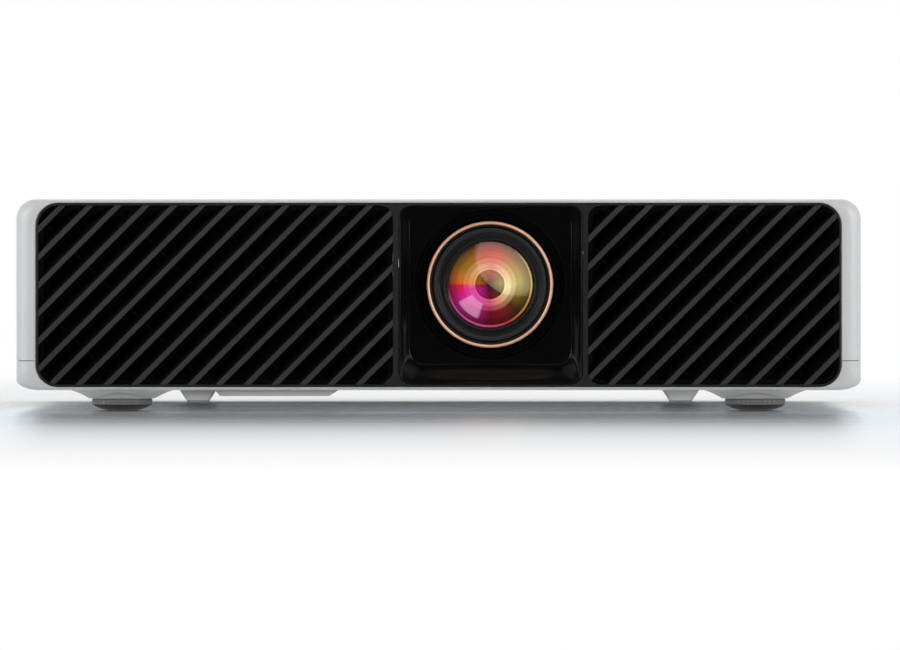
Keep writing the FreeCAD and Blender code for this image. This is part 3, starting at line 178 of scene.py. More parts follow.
def recess_shaded_plastic(name, face, behind, rough, depth):
    """Moulded plastic in its own colour on the front faces, down to a depth in mm, and near black behind as
    painted shade of the recesses.
    """
    look = moulded(name, face, rough, grain=0.4 * MM, depth=0.018 * MM, vary=0.10)
    parts = look.feed(look.add("ShaderNodeSeparateXYZ"), Vector=look.shifted(LENS)).outputs
    painted = look.bsdf.inputs["Base Color"].links[0].from_socket
    # Painted shade: past the front faces the colour turns near black, for the shade that falls in the
    # recesses.
    inside = look.mix(look.span(look.noise(3 * MM), 0, 1), behind, tint(behind, 1.6))
    body = look.mix(look.span(parts[1], 0, 1, depth * MM, (depth + 0.15) * MM), painted, inside)
    return look.set(Base_Color=body, Specular_IOR_Level=0.35)


def metal(name, color, rough, streak=(1, 1, 30), scratch=0.004 * MM, **fixed):
    """Drawn or rolled metal: long fine streaks, and a little tarnish."""
    look = Look(name, color, rough, Metallic=1.0, **fixed)
    lines = look.noise(0.35 * MM, 2.0, look.shifted((0, 0, 0), streak))
    cloud = look.noise(14 * MM, 3.0)
    body = look.mix(look.span(cloud, 0, 1), tint(color, 0.86), tint(color, 1.06))
    uneven = look.math("ADD", look.span(lines, -0.07, 0.07), look.span(cloud, rough - 0.04, rough + 0.06))
    return look.set(Base_Color=body, Roughness=uneven, Normal=look.bump(lines, scratch))


def turned_metal(name, color, rough, centre, **fixed):
    """Metal with fine rings from the lathe, about an axis along Y."""
    look = Look(name, color, rough, **fixed)
    parts = look.feed(look.add("ShaderNodeSeparateXYZ"), Vector=look.shifted(centre)).outputs
    square = look.math("ADD", look.math("POWER", parts[0], 2.0), look.math("POWER", parts[2], 2.0))
    radius, along = look.math("SQRT", square), look.math("MULTIPLY", parts[1], 0.7)
    line = look.feed(look.add("ShaderNodeCombineXYZ"), X=radius, Y=along).outputs[0]
    rings = look.noise(0.12 * MM, 2.0, line)
    cloud = look.noise(9 * MM, 3.0)
    body = look.mix(look.span(cloud, 0, 1), tint(color, 0.9), tint(color, 1.06))
    uneven = look.math("ADD", look.span(rings, -0.08, 0.08), rough)
    return look.set(Base_Color=body, Roughness=uneven, Normal=look.bump(rings, 0.006 * MM))


def clear(name, color, rough=0.02, **fixed):
    """Clear glass or plastic with a trace of dust and uneven polish."""
    look = Look(name, color, rough, **{"Transmission_Weight": 0.92, "IOR": 1.5, **fixed})
    dust = look.noise(1.2 * MM, 4.0)
    wipe = look.noise(8 * MM, 2.0)
    body = look.mix(look.span(dust, 0.0, 0.25, 0.55, 0.8), color, tint(color, 0.75))
    return look.set(Base_Color=body, Roughness=look.span(wipe, rough, rough + 0.05))


def circuit_board(name):
    """Solder mask over copper tracks, with a plain weave of glass fibre under it."""
    mask = (0.012, 0.085, 0.032)
    look = Look(name, mask, 0.35, Coat_Weight=0.3)
    tracks = look.feed(
        look.add("ShaderNodeTexBrick", offset=0.37), Vector=look.place, Scale=1 / (9 * MM), Mortar_Size=0.035
    ).outputs["Fac"]
    pads = look.span(look.cells(3.1 * MM), 1, 0, 0.10, 0.16)
    lit = look.math("MAXIMUM", tracks, pads)
    weave = look.noise(0.4 * MM, 2.0)
    body = look.mix(look.span(weave, 0, 1), tint(mask, 0.8), tint(mask, 1.25))
    body = look.mix(lit, body, (0.05, 0.22, 0.07))
    rough = look.span(weave, 0.3, 0.45)
    return look.set(Base_Color=body, Roughness=rough, Normal=look.bump(lit, 0.03 * MM))


SILVER = moulded("case_finish", (0.50, 0.505, 0.51), 0.38, grain=0.45 * MM, depth=0.016 * MM, vary=0.018)
DOOR = moulded("door_finish", (0.28, 0.283, 0.286), 0.42, grain=0.6 * MM, depth=0.03 * MM, vary=0.03)
FOOT = moulded("foot_finish", (0.50, 0.51, 0.52), 0.45, grain=0.6 * MM, depth=0.03 * MM, vary=0.04)
GRAPHITE = moulded(
    "graphite_finish", (0.017, 0.0174, 0.0178), 0.42, grain=0.4 * MM, depth=0.018 * MM, vary=0.10
)
# Grille slats keep their graphite on the front faces; their sides and the openings behind get painted shade.
GRILLE = recess_shaded_plastic("grille_finish", (0.034, 0.034, 0.035), (0.0022, 0.0022, 0.0023), 0.42, 0.2)
PANEL = moulded("rear_panel_finish", (0.036, 0.037, 0.040), 0.50, grain=0.7 * MM, depth=0.04 * MM, vary=0.10)
PIANO = moulded(
    "piano_black", (0.0034, 0.0034, 0.0036), 0.17, grain=6 * MM, depth=0.003 * MM, vary=0.05,
    Specular_IOR_Level=0.3,
)
DIAL = moulded("dial_finish", (0.20, 0.202, 0.206), 0.5, grain=0.5 * MM, depth=0.03 * MM, vary=0.08)
RUBBER = moulded("rubber", (0.014, 0.014, 0.015), 0.75, grain=0.35 * MM, depth=0.05 * MM, vary=0.2)
SOFT_PAD = moulded("soft_pad", (0.16, 0.16, 0.165), 0.7, grain=0.35 * MM, depth=0.05 * MM, vary=0.15)
RING = moulded("ring_black", (0.014, 0.014, 0.015), 0.45, grain=0.35 * MM, depth=0.02 * MM, vary=0.1)
FAN = moulded("fan_black", (0.012, 0.012, 0.013), 0.42, grain=0.8 * MM, depth=0.02 * MM, vary=0.15)
SOCKET_BLACK = moulded("socket_black", (0.012, 0.012, 0.013), 0.3, grain=0.5 * MM, depth=0.01 * MM, vary=0.1)
SOCKET_BLUE = moulded("socket_blue", (0.012, 0.055, 0.30), 0.35, grain=0.5 * MM, depth=0.01 * MM, vary=0.08)
KEY = moulded("key_finish", (0.30, 0.31, 0.32), 0.34, grain=0.4 * MM, depth=0.012 * MM, vary=0.03)
INK = moulded("symbol_ink", (0.86, 0.87, 0.88), 0.5, grain=0.3 * MM, depth=0.005 * MM, vary=0.03)
PAPER = moulded("label_foil", (0.62, 0.63, 0.64), 0.33, grain=0.25 * MM, depth=0.008 * MM, vary=0.03)
# Filter paper near black: real filters, coloured as painted shade for the dark behind the grilles.
PLEAT_AS_SHADE = moulded("filter_paper_as_shade", (0.0035, 0.0035, 0.0038), 0.9, grain=0.25 * MM, depth=0.09 * MM, vary=0.25)
STEEL = metal("sheet_steel", (0.58, 0.59, 0.60), 0.32, streak=(25, 1, 1))
NICKEL = metal("nickel", (0.66, 0.65, 0.62), 0.24, streak=(1, 25, 1))
SCREW = metal("screw_steel", (0.20, 0.20, 0.21), 0.35, streak=(6, 6, 1))
BRASS = metal("turned_brass", (0.76, 0.54, 0.24), 0.28, streak=(12, 12, 1))
GOLD = metal("contact_gold", (0.83, 0.62, 0.26), 0.25, streak=(1, 12, 1))
ALUMINIUM = metal("extruded_aluminium", (0.70, 0.71, 0.72), 0.36, streak=(1, 1, 30))
CAST = metal("cast_housing", (0.09, 0.09, 0.10), 0.5, streak=(2, 2, 2), scratch=0.03 * MM)
BARREL = turned_metal("barrel_black", (0.020, 0.020, 0.022), 0.4, LENS, Metallic=0.6)
COPPER = turned_metal("copper_anodised", (0.86, 0.49, 0.31), 0.42, LENS, Metallic=0.45)
CELL = turned_metal("cell_black", (0.0058, 0.0070, 0.0071), 0.42, LENS)
GLASS = clear("inner_glass", (0.85, 0.93, 0.93))
WHEEL = clear("wheel_glass", (0.75, 0.55, 0.85), 0.05)
LAMP = clear("lamp_glass", (0.86, 0.90, 0.96), 0.06)
PIPE = clear("light_pipe", (0.85, 0.92, 1.0), 0.12)
BOARD = circuit_board("circuit_board")

FINISHES = {
    SILVER: ["top_cover", "bottom_case"],
    DOOR: ["lamp_door"],
    FOOT: ["rear_feet"],
    GRAPHITE: ["front_frame"],
    GRILLE: ["left_grille", "right_grille"],
    PANEL: ["rear_panel"],
    PIANO: ["lens_surround"],
    DIAL: ["left_foot_dial", "right_foot_dial"],
    RUBBER: ["left_foot_pad", "right_foot_pad"],
    SOFT_PAD: ["rear_foot_pads"],
    RING: ["focus_ring", "zoom_ring", "speaker"],
    FAN: ["left_fan_frame", "left_fan_rotor", "right_fan_frame", "right_fan_rotor"],
    SOCKET_BLACK: ["audio_jacks", "power_inlet"],
    SOCKET_BLUE: ["vga_socket"],
    KEY: [f"{key}_button" for key in ("power", "back", "source", "ok", "up", "down", "left", "right")],
    PLEAT_AS_SHADE: ["dust_filter"],
    STEEL: ["engine_lid", "light_tunnel", "color_wheel_motor", "lamp_housing"],
    NICKEL: ["data_sockets"],
    SCREW: ["case_screws", "lens_screws"],
    BRASS: ["brass_bushes"],
    ALUMINIUM: ["chip_heat_sink"],
    CAST: ["engine_housing", "optical_base"],
    BARREL: ["lens_barrel"],
    COPPER: ["copper_trim"],
    CELL: ["front_cell", "zoom_cell"],
    GLASS: ["front_lenses", "zoom_glass", "rear_glass", "engine_optics"],
    WHEEL: ["color_wheel"],
    LAMP: ["lamp"],
    PIPE: ["status_lights"],
    BOARD: ["chip_board", "lamp_ballast", "main_board", "power_board", "key_board"],
}
for look, names in FINISHES.items():
    for name in names:
        for place in nodes[name].material_slots:
            place.material = look.mat


# ---- mesh helpers -----------------------------------------------------------------------------


def piece(name, points, faces, look, body, slot, sharp=30.0):
    """A new piece from points in metres. It rides on a body and takes its finish from look. slot is not used.
    """
    mesh = bpy.data.meshes.new(name)
    mesh.from_pydata([tuple(p) for p in points], [], faces)
    mesh.validate()
    mesh.shade_smooth()
    mesh.set_sharp_from_angle(angle=math.radians(sharp))
    mesh.materials.append(look.mat)
    made = bpy.data.objects.new(name, mesh)
    scene.collection.objects.link(made)
    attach(made, body)
    return made


def skin(loops, closed=False):
    """Points and faces of a surface through loops of equal length. closed joins the last to the first."""
    count = len(loops[0])
    points = [p for loop in loops for p in loop]
    faces = []
    for i in range(len(loops) if closed else len(loops) - 1):
        a, b = i * count, (i + 1) % len(loops) * count
        faces += [(a + j, a + (j + 1) % count, b + (j + 1) % count, b + j) for j in range(count)]
    return points, faces


def merged(parts):
    """One list of points and faces from several."""
    points, faces = [], []
    for more, sides in parts:
        start = len(points)
        points += more
        faces += [tuple(start + i for i in face) for face in sides]
    return points, faces


def lathe(profile, count=256):
    """A closed profile of (radius, distance behind the front plane) in mm, turned about the lens axis."""
    loops = []
    for r, a in profile:
        r = max(r, 0.01)
        loops.append([
            LENS + Vector((r * math.cos(TURN * i / count), a, r * math.sin(TURN * i / count))) * MM
            for i in range(count)
        ])
    return skin(loops, closed=True)


def slab(outline, z0, z1):
    """A flat plate from an outline of (x, y) in metres."""
    count = len(outline)
    points = [Vector((x, y, z)) for z in (z0, z1) for x, y in outline]
    faces = [(i, (i + 1) % count, count + (i + 1) % count, count + i) for i in range(count)]
    return points, faces + [tuple(range(count))[::-1], tuple(range(count, 2 * count))]


def bar(low, high):
    """A box with softened long edges, from its low and high corners in metres."""
    (x0, y0, z0), (x1, y1, z1) = low, high
    e = 0.18 * min(x1 - x0, y1 - y0, z1 - z0)
    outline = [
        (x0 + e, y0), (x1 - e, y0), (x1, y0 + e), (x1, y1 - e),
        (x1 - e, y1), (x0 + e, y1), (x0, y1 - e), (x0, y0 + e),
    ]
    return slab(outline, z0, z1)


def rounded(x, y, r, steps=8):
    """(x, y) points round a rounded rectangle, anticlockwise."""
    left, right, lower, upper = x[0] + r, x[1] - r, y[0] + r, y[1] - r
    corners = ((right, upper, 0), (left, upper, 1), (left, lower, 2), (right, lower, 3))
    return [
        (cx + r * math.cos(TURN / 4 * (q + i / steps)), cy + r * math.sin(TURN / 4 * (q + i / steps)))
        for cx, cy, q in corners for i in range(steps + 1)
    ]


def upright_circle(x, y, z, r, count):
    """Points on a circle that faces along Y, in metres."""
    angles = [TURN * i / count for i in range(count)]
    return [Vector((x + r * math.cos(t), y, z + r * math.sin(t))) for t in angles]


def arc(x, y, r, start, end, steps):
    """(x, y) points on an arc, with its angles in degrees."""
    angles = [math.radians(start + (end - start) * i / steps) for i in range(steps + 1)]
    return [(x + r * math.cos(t), y + r * math.sin(t)) for t in angles]


# ---- lens pocket ------------------------------------------------------------------------------

low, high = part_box("lens_surround")
POCKET_X = ((low.x - LENS.x) / MM, (high.x - LENS.x) / MM)
POCKET_Z = ((low.z - LENS.z) / MM, (high.z - LENS.z) / MM)
ROUND = 384


def squircle(x, z, r, a):
    """A rounded rectangle about the lens axis, met by rays at even angles. r is its corner radius in mm."""
    points = []
    for i in range(ROUND):
        dx, dz = math.cos(TURN * i / ROUND), math.sin(TURN * i / ROUND)
        side_x, side_z = x[dx > 0], z[dz > 0]
        reach = min(side_x / dx if abs(dx) > 1e-9 else 1e9, side_z / dz if abs(dz) > 1e-9 else 1e9)
        cx, cz = side_x - math.copysign(r, side_x), side_z - math.copysign(r, side_z)
        past_x = (reach * dx - cx) * math.copysign(1, side_x) > 0
        past_z = (reach * dz - cz) * math.copysign(1, side_z) > 0
        if past_x and past_z:
            along = cx * dx + cz * dz
            reach = along + math.sqrt(max(along**2 - cx**2 - cz**2 + r**2, 0))
        points.append(LENS + Vector((reach * dx, a, reach * dz)) * MM)
    return points


def ring(r, a):
    """A circle about the lens axis, of radius r and a behind the front plane, in mm."""
    angles = [TURN * i / ROUND for i in range(ROUND)]
    return [LENS + Vector((r * math.cos(t), a, r * math.sin(t))) * MM for t in angles]


def pocket_loops():
    """The pocket from its rear outside edge, over the front lip, down the walls and into the bore."""
    depth, flat_x, flat_z = 11.0, (-38.0, 38.5), (-37.3, 36.3)
    dish, bore, back, rear_edge, corner = 36.2, 31.2, 17.0, 13.0, 6.0

    def shrunk(e):
        return (POCKET_X[0] + e, POCKET_X[1] - e), (POCKET_Z[0] + e, POCKET_Z[1] - e)

    loops = [squircle(*shrunk(0), corner, rear_edge), squircle(*shrunk(0), corner, 0.5)]
    for e, a in ((0.06, 0.25), (0.22, 0.08), (0.45, 0.0), (0.62, 0.05), (0.75, 0.18)):
        loops.append(squircle(*shrunk(e), corner - e, a))
    top = shrunk(0.75)
    steps = 14
    for i in range(1, steps + 1):
        t = i / steps
        eased = t - 0.16 * math.sin(TURN * t) / TURN * 2
        x = tuple(p + (q - p) * eased for p, q in zip(top[0], flat_x))
        z = tuple(p + (q - p) * eased for p, q in zip(top[1], flat_z))
        turn_in = max(0.0, t - 0.86) / 0.14
        a = 0.18 + (depth - 0.5) * min(t / 0.9, 1.0) + 0.32 * math.sin(turn_in * math.pi / 2)
        loops.append(squircle(x, z, 5.6 + 1.6 * t, a))
    for inset, a in ((0.5, depth - 0.06), (1.2, depth)):
        x = (flat_x[0] + inset, flat_x[1] - inset)
        z = (flat_z[0] + inset * 0.4, flat_z[1] - inset * 0.05)
        loops.append(squircle(x, z, 7.0 - inset, a))
    for r, a in ((dish, depth + 0.02), (dish - 0.25, depth + 0.1), (dish - 0.5, depth + 0.32)):
        loops.append(ring(r, a))
    dish_steps = 8
    for i in range(1, dish_steps + 1):
        t = i / dish_steps
        r = dish - 0.5 - (dish - 1.0 - bore) * t
        loops.append(ring(r, depth + 0.32 + 3.6 * math.sin(t * math.pi / 2)))
    sleeve = bore + 2.5
    loops += [ring(bore + 0.1, depth + 4.0), ring(bore, depth + 4.3), ring(bore, back)]
    return loops + [ring(sleeve, back), ring(sleeve, rear_edge)]


pocket = piece("lens_pocket", *skin(pocket_loops(), closed=True), PIANO, "projector", "surround_black", 50.0)
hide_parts("lens_surround")


# ---- lens -------------------------------------------------------------------------------------

trim = piece(
    "trim_ring",
    *lathe([
        (28.5, 9.0), (28.5, 7.1), (28.56, 6.75), (28.72, 6.42), (28.98, 6.24), (29.2, 6.2), (29.45, 6.27),
        (29.68, 6.48), (29.82, 6.8), (29.9, 7.2), (30.0, 7.6), (30.0, 9.0),
    ]),
    COPPER, "focus", "trim_copper",
)
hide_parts("copper_trim")


def cell_profile():
    """The stepped black cell: a flat band, a groove, fine baffle ridges, and the lip round the glass."""
    points = [(25.4, 34.0), (25.4, 14.0), (27.0, 14.0), (27.0, 10.1), (26.92, 9.75), (26.7, 9.55)]
    points += [(26.3, 9.5)]
    points += [(24.75, 9.62), (24.62, 9.75), (24.55, 10.7), (24.2, 10.7), (24.12, 9.85), (23.95, 9.75)]
    r, a = 23.8, 9.85
    for _ in range(5):
        points += [(r, a), (r - 0.1, a + 0.28), (r - 0.3, a + 0.2)]
        r, a = r - 0.34, a + 0.3
    points += [(21.95, 11.5), (21.8, 11.3), (21.6, 11.28), (21.42, 11.4), (21.35, 11.75), (21.08, 13.0)]
    return points + [
        (21.05, 16.6), (19.5, 16.6), (19.5, 21.0), (16.05, 21.0), (16.05, 28.4), (14.5, 28.4), (14.5, 34.0)
    ]


cell = piece("baffle_cell", *lathe(cell_profile()), CELL, "front_group", "cell_black")
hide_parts("front_cell")


def polar(look):
    """The angle round the lens axis as 0..1 clockwise from straight down, and the radius in mm."""
    parts = look.feed(look.add("ShaderNodeSeparateXYZ"), Vector=look.shifted(LENS)).outputs
    angle = look.math("ADD", look.math("DIVIDE", look.math("ARCTAN2", parts[0], parts[2]), TURN), 0.5)
    square = look.math("ADD", look.math("POWER", parts[0], 2.0), look.math("POWER", parts[2], 2.0))
    return angle, look.math("DIVIDE", look.math("SQRT", square), MM)


BLACK, WHITE = (0.0, 0.0, 0.0), (1.0, 1.0, 1.0)
GLASS_R = 21.0  # radius of the front element in mm


def painted_reflection_bowl_look():
    """Painted reflections of the lens coatings, giving off light though no lamp: hues round the axis, in
    bright and dark rings.
    """
    # Emission: the bowl gives off light of its own, though it is no lamp.
    look = Look("lens_painted_reflections", (0.5, 0.1, 0.2), 0.5, Specular_IOR_Level=0.1, Emission_Strength=0.56)
    angle, radius = polar(look)
    hues = look.ramp(angle, [
        (0.00, (0.15, 0.002, 0.016)), (0.07, (0.42, 0.008, 0.17)), (0.16, (0.70, 0.016, 0.36)),
        (0.22, (0.74, 0.012, 0.16)), (0.247, (0.72, 0.012, 0.040)), (0.256, (0.80, 0.13, 0.024)),
        (0.29, (0.60, 0.20, 0.016)), (0.34, (0.36, 0.19, 0.011)), (0.41, (0.38, 0.16, 0.011)),
        (0.47, (0.58, 0.06, 0.018)), (0.54, (0.66, 0.07, 0.045)), (0.62, (0.46, 0.20, 0.05)),
        (0.74, (0.52, 0.40, 0.07)), (0.80, (0.22, 0.17, 0.012)), (0.87, (0.075, 0.034, 0.003)),
        (0.94, (0.20, 0.008, 0.004)), (1.00, (0.15, 0.002, 0.016)),
    ])
    ring_reflection_colors = look.ramp(angle, [
        (0.00, (0.66, 0.10, 0.20)), (0.12, (0.84, 0.09, 0.46)), (0.22, (0.84, 0.08, 0.36)),
        (0.27, (0.84, 0.32, 0.12)), (0.38, (0.76, 0.44, 0.16)), (0.52, (0.72, 0.26, 0.20)),
        (0.66, (0.86, 0.62, 0.30)), (0.77, (0.95, 0.86, 0.42)), (0.88, (0.80, 0.46, 0.20)),
        (0.95, (0.74, 0.24, 0.22)), (1.00, (0.66, 0.10, 0.20)),
    ])
    scaled = look.math("DIVIDE", radius, GLASS_R)
    # The bright ring is a painted reflection of the inner elements.
    reflection_ring_mask = look.ramp(scaled, [
        (0.00, (0.02, 0.02, 0.02)), (0.325, (0.03, 0.03, 0.03)), (0.340, (1.0, 1.0, 1.0)),
        (0.40, (0.9, 0.9, 0.9)), (0.475, (0.95, 0.95, 0.95)), (0.490, (0.42, 0.42, 0.42)),
        (0.585, (0.34, 0.34, 0.34)), (0.600, BLACK), (1.0, BLACK),
    ])
    shade = look.ramp(scaled, [
        (0.00, (0.02, 0.02, 0.02)), (0.09, (0.08, 0.08, 0.08)), (0.10, (0.36, 0.36, 0.36)),
        (0.15, (0.20, 0.20, 0.20)), (0.16, (0.48, 0.48, 0.48)), (0.22, (0.34, 0.34, 0.34)),
        (0.23, (0.62, 0.62, 0.62)), (0.33, (0.46, 0.46, 0.46)), (0.60, (1, 1, 1)),
        (0.76, (0.70, 0.70, 0.70)), (0.77, (0.58, 0.58, 0.58)), (0.88, (0.32, 0.32, 0.32)),
        (0.95, (0.10, 0.10, 0.10)), (1.00, (0.02, 0.02, 0.02)),
    ])
    streaks = look.noise(0.9 * MM, 3.0)
    line = look.feed(look.add("ShaderNodeCombineXYZ"), X=look.math("MULTIPLY", radius, 1.4)).outputs[0]
    turned = look.noise(1.0, 3.0, line)
    body = look.mix(1.0, hues, shade, "MULTIPLY")
    body = look.mix(reflection_ring_mask, body, ring_reflection_colors)
    body = look.mix(look.span(turned, 0.0, 0.42), body, tint(look.color, 0.12))
    # A painted reflection: a pale pink patch on one side of the bowl.
    reflection_patch_angle = look.ramp(angle, [
        (0.0, BLACK), (0.050, BLACK), (0.060, WHITE), (0.163, WHITE), (0.173, BLACK), (1.0, BLACK),
    ])
    reflection_patch_radius = look.ramp(scaled, [
        (0.0, BLACK), (0.45, BLACK), (0.47, WHITE), (0.80, WHITE), (0.82, BLACK), (1.0, BLACK),
    ])
    reflection_patch = look.math("MULTIPLY", reflection_patch_angle, reflection_patch_radius)
    body = look.mix(look.math("MULTIPLY", reflection_patch, 0.30), body, (1.0, 0.62, 0.86))
    return look.set(Base_Color=body, Emission_Color=body, Roughness=look.span(streaks, 0.45, 0.6))


def painted_rim_reflection_look():
    """The bright arc just inside the edge of the glass: a painted reflection that gives off light though it
    is no lamp.
    """
    # Emission: the arc gives off light of its own, though it is no lamp.
    look = Look("lens_painted_rim_reflection", (0.6, 0.2, 0.2), 0.3, Specular_IOR_Level=0.3, Emission_Strength=0.4)
    angle, _ = polar(look)
    painted_arc_reflection = look.ramp(angle, [
        (0.00, (0.62, 0.07, 0.20)), (0.10, (0.55, 0.08, 0.28)), (0.19, (0.40, 0.06, 0.22)),
        (0.24, (0.03, 0.01, 0.02)), (0.30, (0.02, 0.015, 0.01)), (0.60, (0.03, 0.02, 0.01)),
        (0.66, (0.40, 0.32, 0.09)), (0.78, (0.56, 0.42, 0.06)), (0.86, (0.56, 0.22, 0.03)),
        (0.93, (0.50, 0.04, 0.05)), (1.00, (0.62, 0.07, 0.20)),
    ])
    return look.set(
        Base_Color=painted_arc_reflection, Emission_Color=painted_arc_reflection, Roughness=look.span(look.noise(1.0 * MM), 0.25, 0.4)
    )


def dome_look():
    """The front element: nearly clear, with a faint coated reflection that strengthens at its edge."""
    look = Look("front_glass", (0.95, 0.92, 0.95), 0.015, Metallic=1.0, Specular_IOR_Level=1.0)
    facing = look.feed(look.add("ShaderNodeLayerWeight"), Blend=0.35).outputs["Facing"]
    angle, _ = polar(look)
    film = look.ramp(angle, [
        (0.0, (0.95, 0.60, 0.85)), (0.3, (1.0, 0.80, 0.60)), (0.5, (1.0, 0.68, 0.58)),
        (0.75, (1.0, 0.93, 0.60)), (1.0, (0.95, 0.60, 0.85)),
    ])
    dust = look.noise(0.8 * MM, 4.0)
    return look.set(
        Base_Color=film, Alpha=look.span(facing, 0.07, 0.5, 0.1, 0.9),
        Roughness=look.span(dust, 0.012, 0.05),
    )


def sphere_arc(radius_mm, apex, edge, r0, r1, steps):
    """(radius, a) points along a sphere's surface that runs from its apex to its edge at radius_mm."""
    sag = edge - apex
    ball = (radius_mm**2 + sag**2) / (2 * sag)
    points = []
    for i in range(steps + 1):
        r = r0 + (r1 - r0) * i / steps
        points.append((r, apex + ball - math.copysign(math.sqrt(ball**2 - r**2), ball)))
    return points


def dome_profile():
    """The front element, out along its front face and back along its rear face."""
    edge_r, steps = 20.9, 24
    front = sphere_arc(GLASS_R, 9.2, 13.0, 0.0, edge_r, steps)
    return front + sphere_arc(GLASS_R, 10.4, 13.6, edge_r, 0.0, steps)


dome = piece("front_element", *lathe(dome_profile()), dome_look(), "front_group", "coated_glass")


def bowl_profile():
    """The coated elements behind the front one: a shallow bowl, stepped where each element ends."""
    steps, edge_r, deepest, rise = 40, 20.4, 16.4, 2.3
    points = []
    for i in range(steps + 1):
        r = edge_r * i / steps
        step = 0.12 * sum(r > edge for edge in (2.2, 4.2, 7.0, 10.1, 12.4))
        points.append((r, deepest - rise * (r / edge_r) ** 2 - step * 0.6))
    return points + [(20.5, 14.2), (20.5, 17.2), (0.0, 17.2)]


bowl = piece("coated_bowl", *lathe(bowl_profile()), painted_reflection_bowl_look(), "front_group", "coated_glass")
rim = piece(
    "rim_arc",
    *lathe([
        (19.3, 14.0), (19.45, 13.72), (19.8, 13.6), (20.15, 13.68), (20.3, 13.9), (20.3, 14.1), (19.3, 14.1),
    ]),
    painted_rim_reflection_look(), "front_group", "coated_glass",
)
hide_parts("front_lenses")
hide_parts("front_lenses")


# ---- pleated filters behind the grilles, near black as painted shade ----------------------------

low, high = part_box("dust_filter")
FILTERS = {"left": (low.x, -22.9 * MM), "right": (72.0 * MM, high.x)}  # the ends of each pad in x


def pleats(x0, x1):
    """A sheet folded to and fro between x0 and x1, seen from above as one zigzag outline."""
    wall, edge = 0.25 * MM, 3.0 * MM
    count = round((x1 - x0) / (2 * MM))
    x0, x1, y0, y1 = x0 + edge, x1 - edge, low.y + 0.2 * MM, high.y - 0.2 * MM
    front, back = [], []
    for i in range(2 * count + 1):
        x = x0 + (x1 - x0) * i / (2 * count)
        y = y0 + wall if i % 2 else y1 - wall
        front.append((x, y - wall))
        back.append((x, y + wall))
    return slab(front + back[::-1], low.z + edge, high.z - edge)


def filter_rim(x0, x1):
    """The frame that holds a pleated sheet."""
    width, corner = 3.2 * MM, 7.9 * MM
    rows = []
    for inset, y in ((0, low.y), (0, high.y), (width, high.y), (width, low.y)):
        x, z = (x0 + inset, x1 - inset), (low.z + inset, high.z - inset)
        rows.append([Vector((u, y, v)) for u, v in rounded(x, z, corner - inset)])
    return skin(rows, closed=True)


for side, edges in FILTERS.items():
    for part, shape in (("pleats", pleats(*edges)), ("filter_rim", filter_rim(*edges))):
        made = piece(f"{side}_{part}", *shape, PLEAT_AS_SHADE, "projector", "filter_foam")
        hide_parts("dust_filter")


# ---- symbols on the keys -----------------------------------------------------------------------


def key_middle(key):
    low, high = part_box(f"{key}_button")
    return (low.x + high.x) / 2, (low.y + high.y) / 2, high.z


def symbol(key, outlines):
    """Printed symbol on a key, from outlines of (x, y) in mm about the key's middle."""
    x, y, z = key_middle(key)
    sunk, raised = 0.02 * MM, 0.04 * MM
    parts = [
        slab([(x + u * MM, y + v * MM) for u, v in outline], z - sunk, z + raised) for outline in outlines
    ]
    piece(f"{key}_symbol", *merged(parts), INK, f"{key}_key", "button_silver")


def band(x, y, r, width, start, end, steps=28):
    """Outline of a stroke that follows an arc."""
    return arc(x, y, r + width / 2, start, end, steps) + arc(x, y, r - width / 2, end, start, steps)


symbol("power", [band(0, 0, 2.2, 0.5, 125, 415), [(-0.25, 0.6), (0.25, 0.6), (0.25, 2.9), (-0.25, 2.9)]])
symbol("back", [
    [(-2.6, 0.7), (-0.9, 2.0), (-0.9, 0.95), (0.9, 0.95), (0.9, 0.45), (-0.9, 0.45), (-0.9, -0.6)],
    band(0.9, -0.35, 1.05, 0.5, 90, -90, 16),
    [(0.9, -1.15), (-0.9, -1.15), (-0.9, -1.65), (0.9, -1.65)],
])
symbol("source", [
    [(-2.6, -1.6), (-2.1, -1.6), (-2.1, 1.6), (-2.6, 1.6)],
    [(-2.1, 1.1), (0.6, 1.1), (0.6, 1.6), (-2.1, 1.6)],
    [(-2.1, -1.6), (0.6, -1.6), (0.6, -1.1), (-2.1, -1.1)],
    [(-0.9, -0.25), (1.2, -0.25), (1.2, -0.9), (2.6, 0.0), (1.2, 0.9), (1.2, 0.25), (-0.9, 0.25)],
])
symbol("ok", [band(0, 0, 1.7, 0.5, 0, 359.9), arc(0, 0, 0.55, 0, 345, 23)])
for key, turn in (("up", 0), ("left", 90), ("down", 180), ("right", 270)):
    c, s = round(math.cos(math.radians(turn))), round(math.sin(math.radians(turn)))
    symbol(key, [[(c * u - s * v, s * u + c * v) for u, v in ((-1.7, -0.9), (1.7, -0.9), (0.0, 1.1))]])


# ---- rear sockets ------------------------------------------------------------------------------

low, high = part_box("power_inlet")
INLET = ((low.x + high.x) / 2, (low.z + high.z) / 2)
PANEL_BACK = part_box("rear_panel")[1].y


def inlet_pins():
    """Flat pins of the mains inlet, rounded at their tips."""
    w, h = 1.06 * MM, 2.06 * MM
    parts = []
    for dx, dz in ((-7.0, 1.2), (7.0, 1.2), (0.0, 5.0)):
        x, z = INLET[0] + dx * MM, INLET[1] + dz * MM
        rings = []
        for y, tip in ((-17.0, 1.0), (-3.6, 1.0), (-3.0, 0.8), (-2.75, 0.45)):
            rings.append([
                Vector((x + u * tip, PANEL_BACK + y * MM, z + v * (0.5 + tip / 2)))
                for u, v in rounded((-w, w), (-h, h), 0.35 * MM, 4)
            ])
        points, faces = skin(rings)
        count = len(rings[0])
        ends = [tuple(range(count))[::-1], tuple(range(3 * count, 4 * count))]
        parts.append((points, faces + ends))
    return merged(parts)


piece("inlet_pins", *inlet_pins(), NICKEL, "projector", "socket_steel")

low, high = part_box("vga_socket")
VGA = ((low.x + high.x) / 2, low.z + 6.2 * MM)


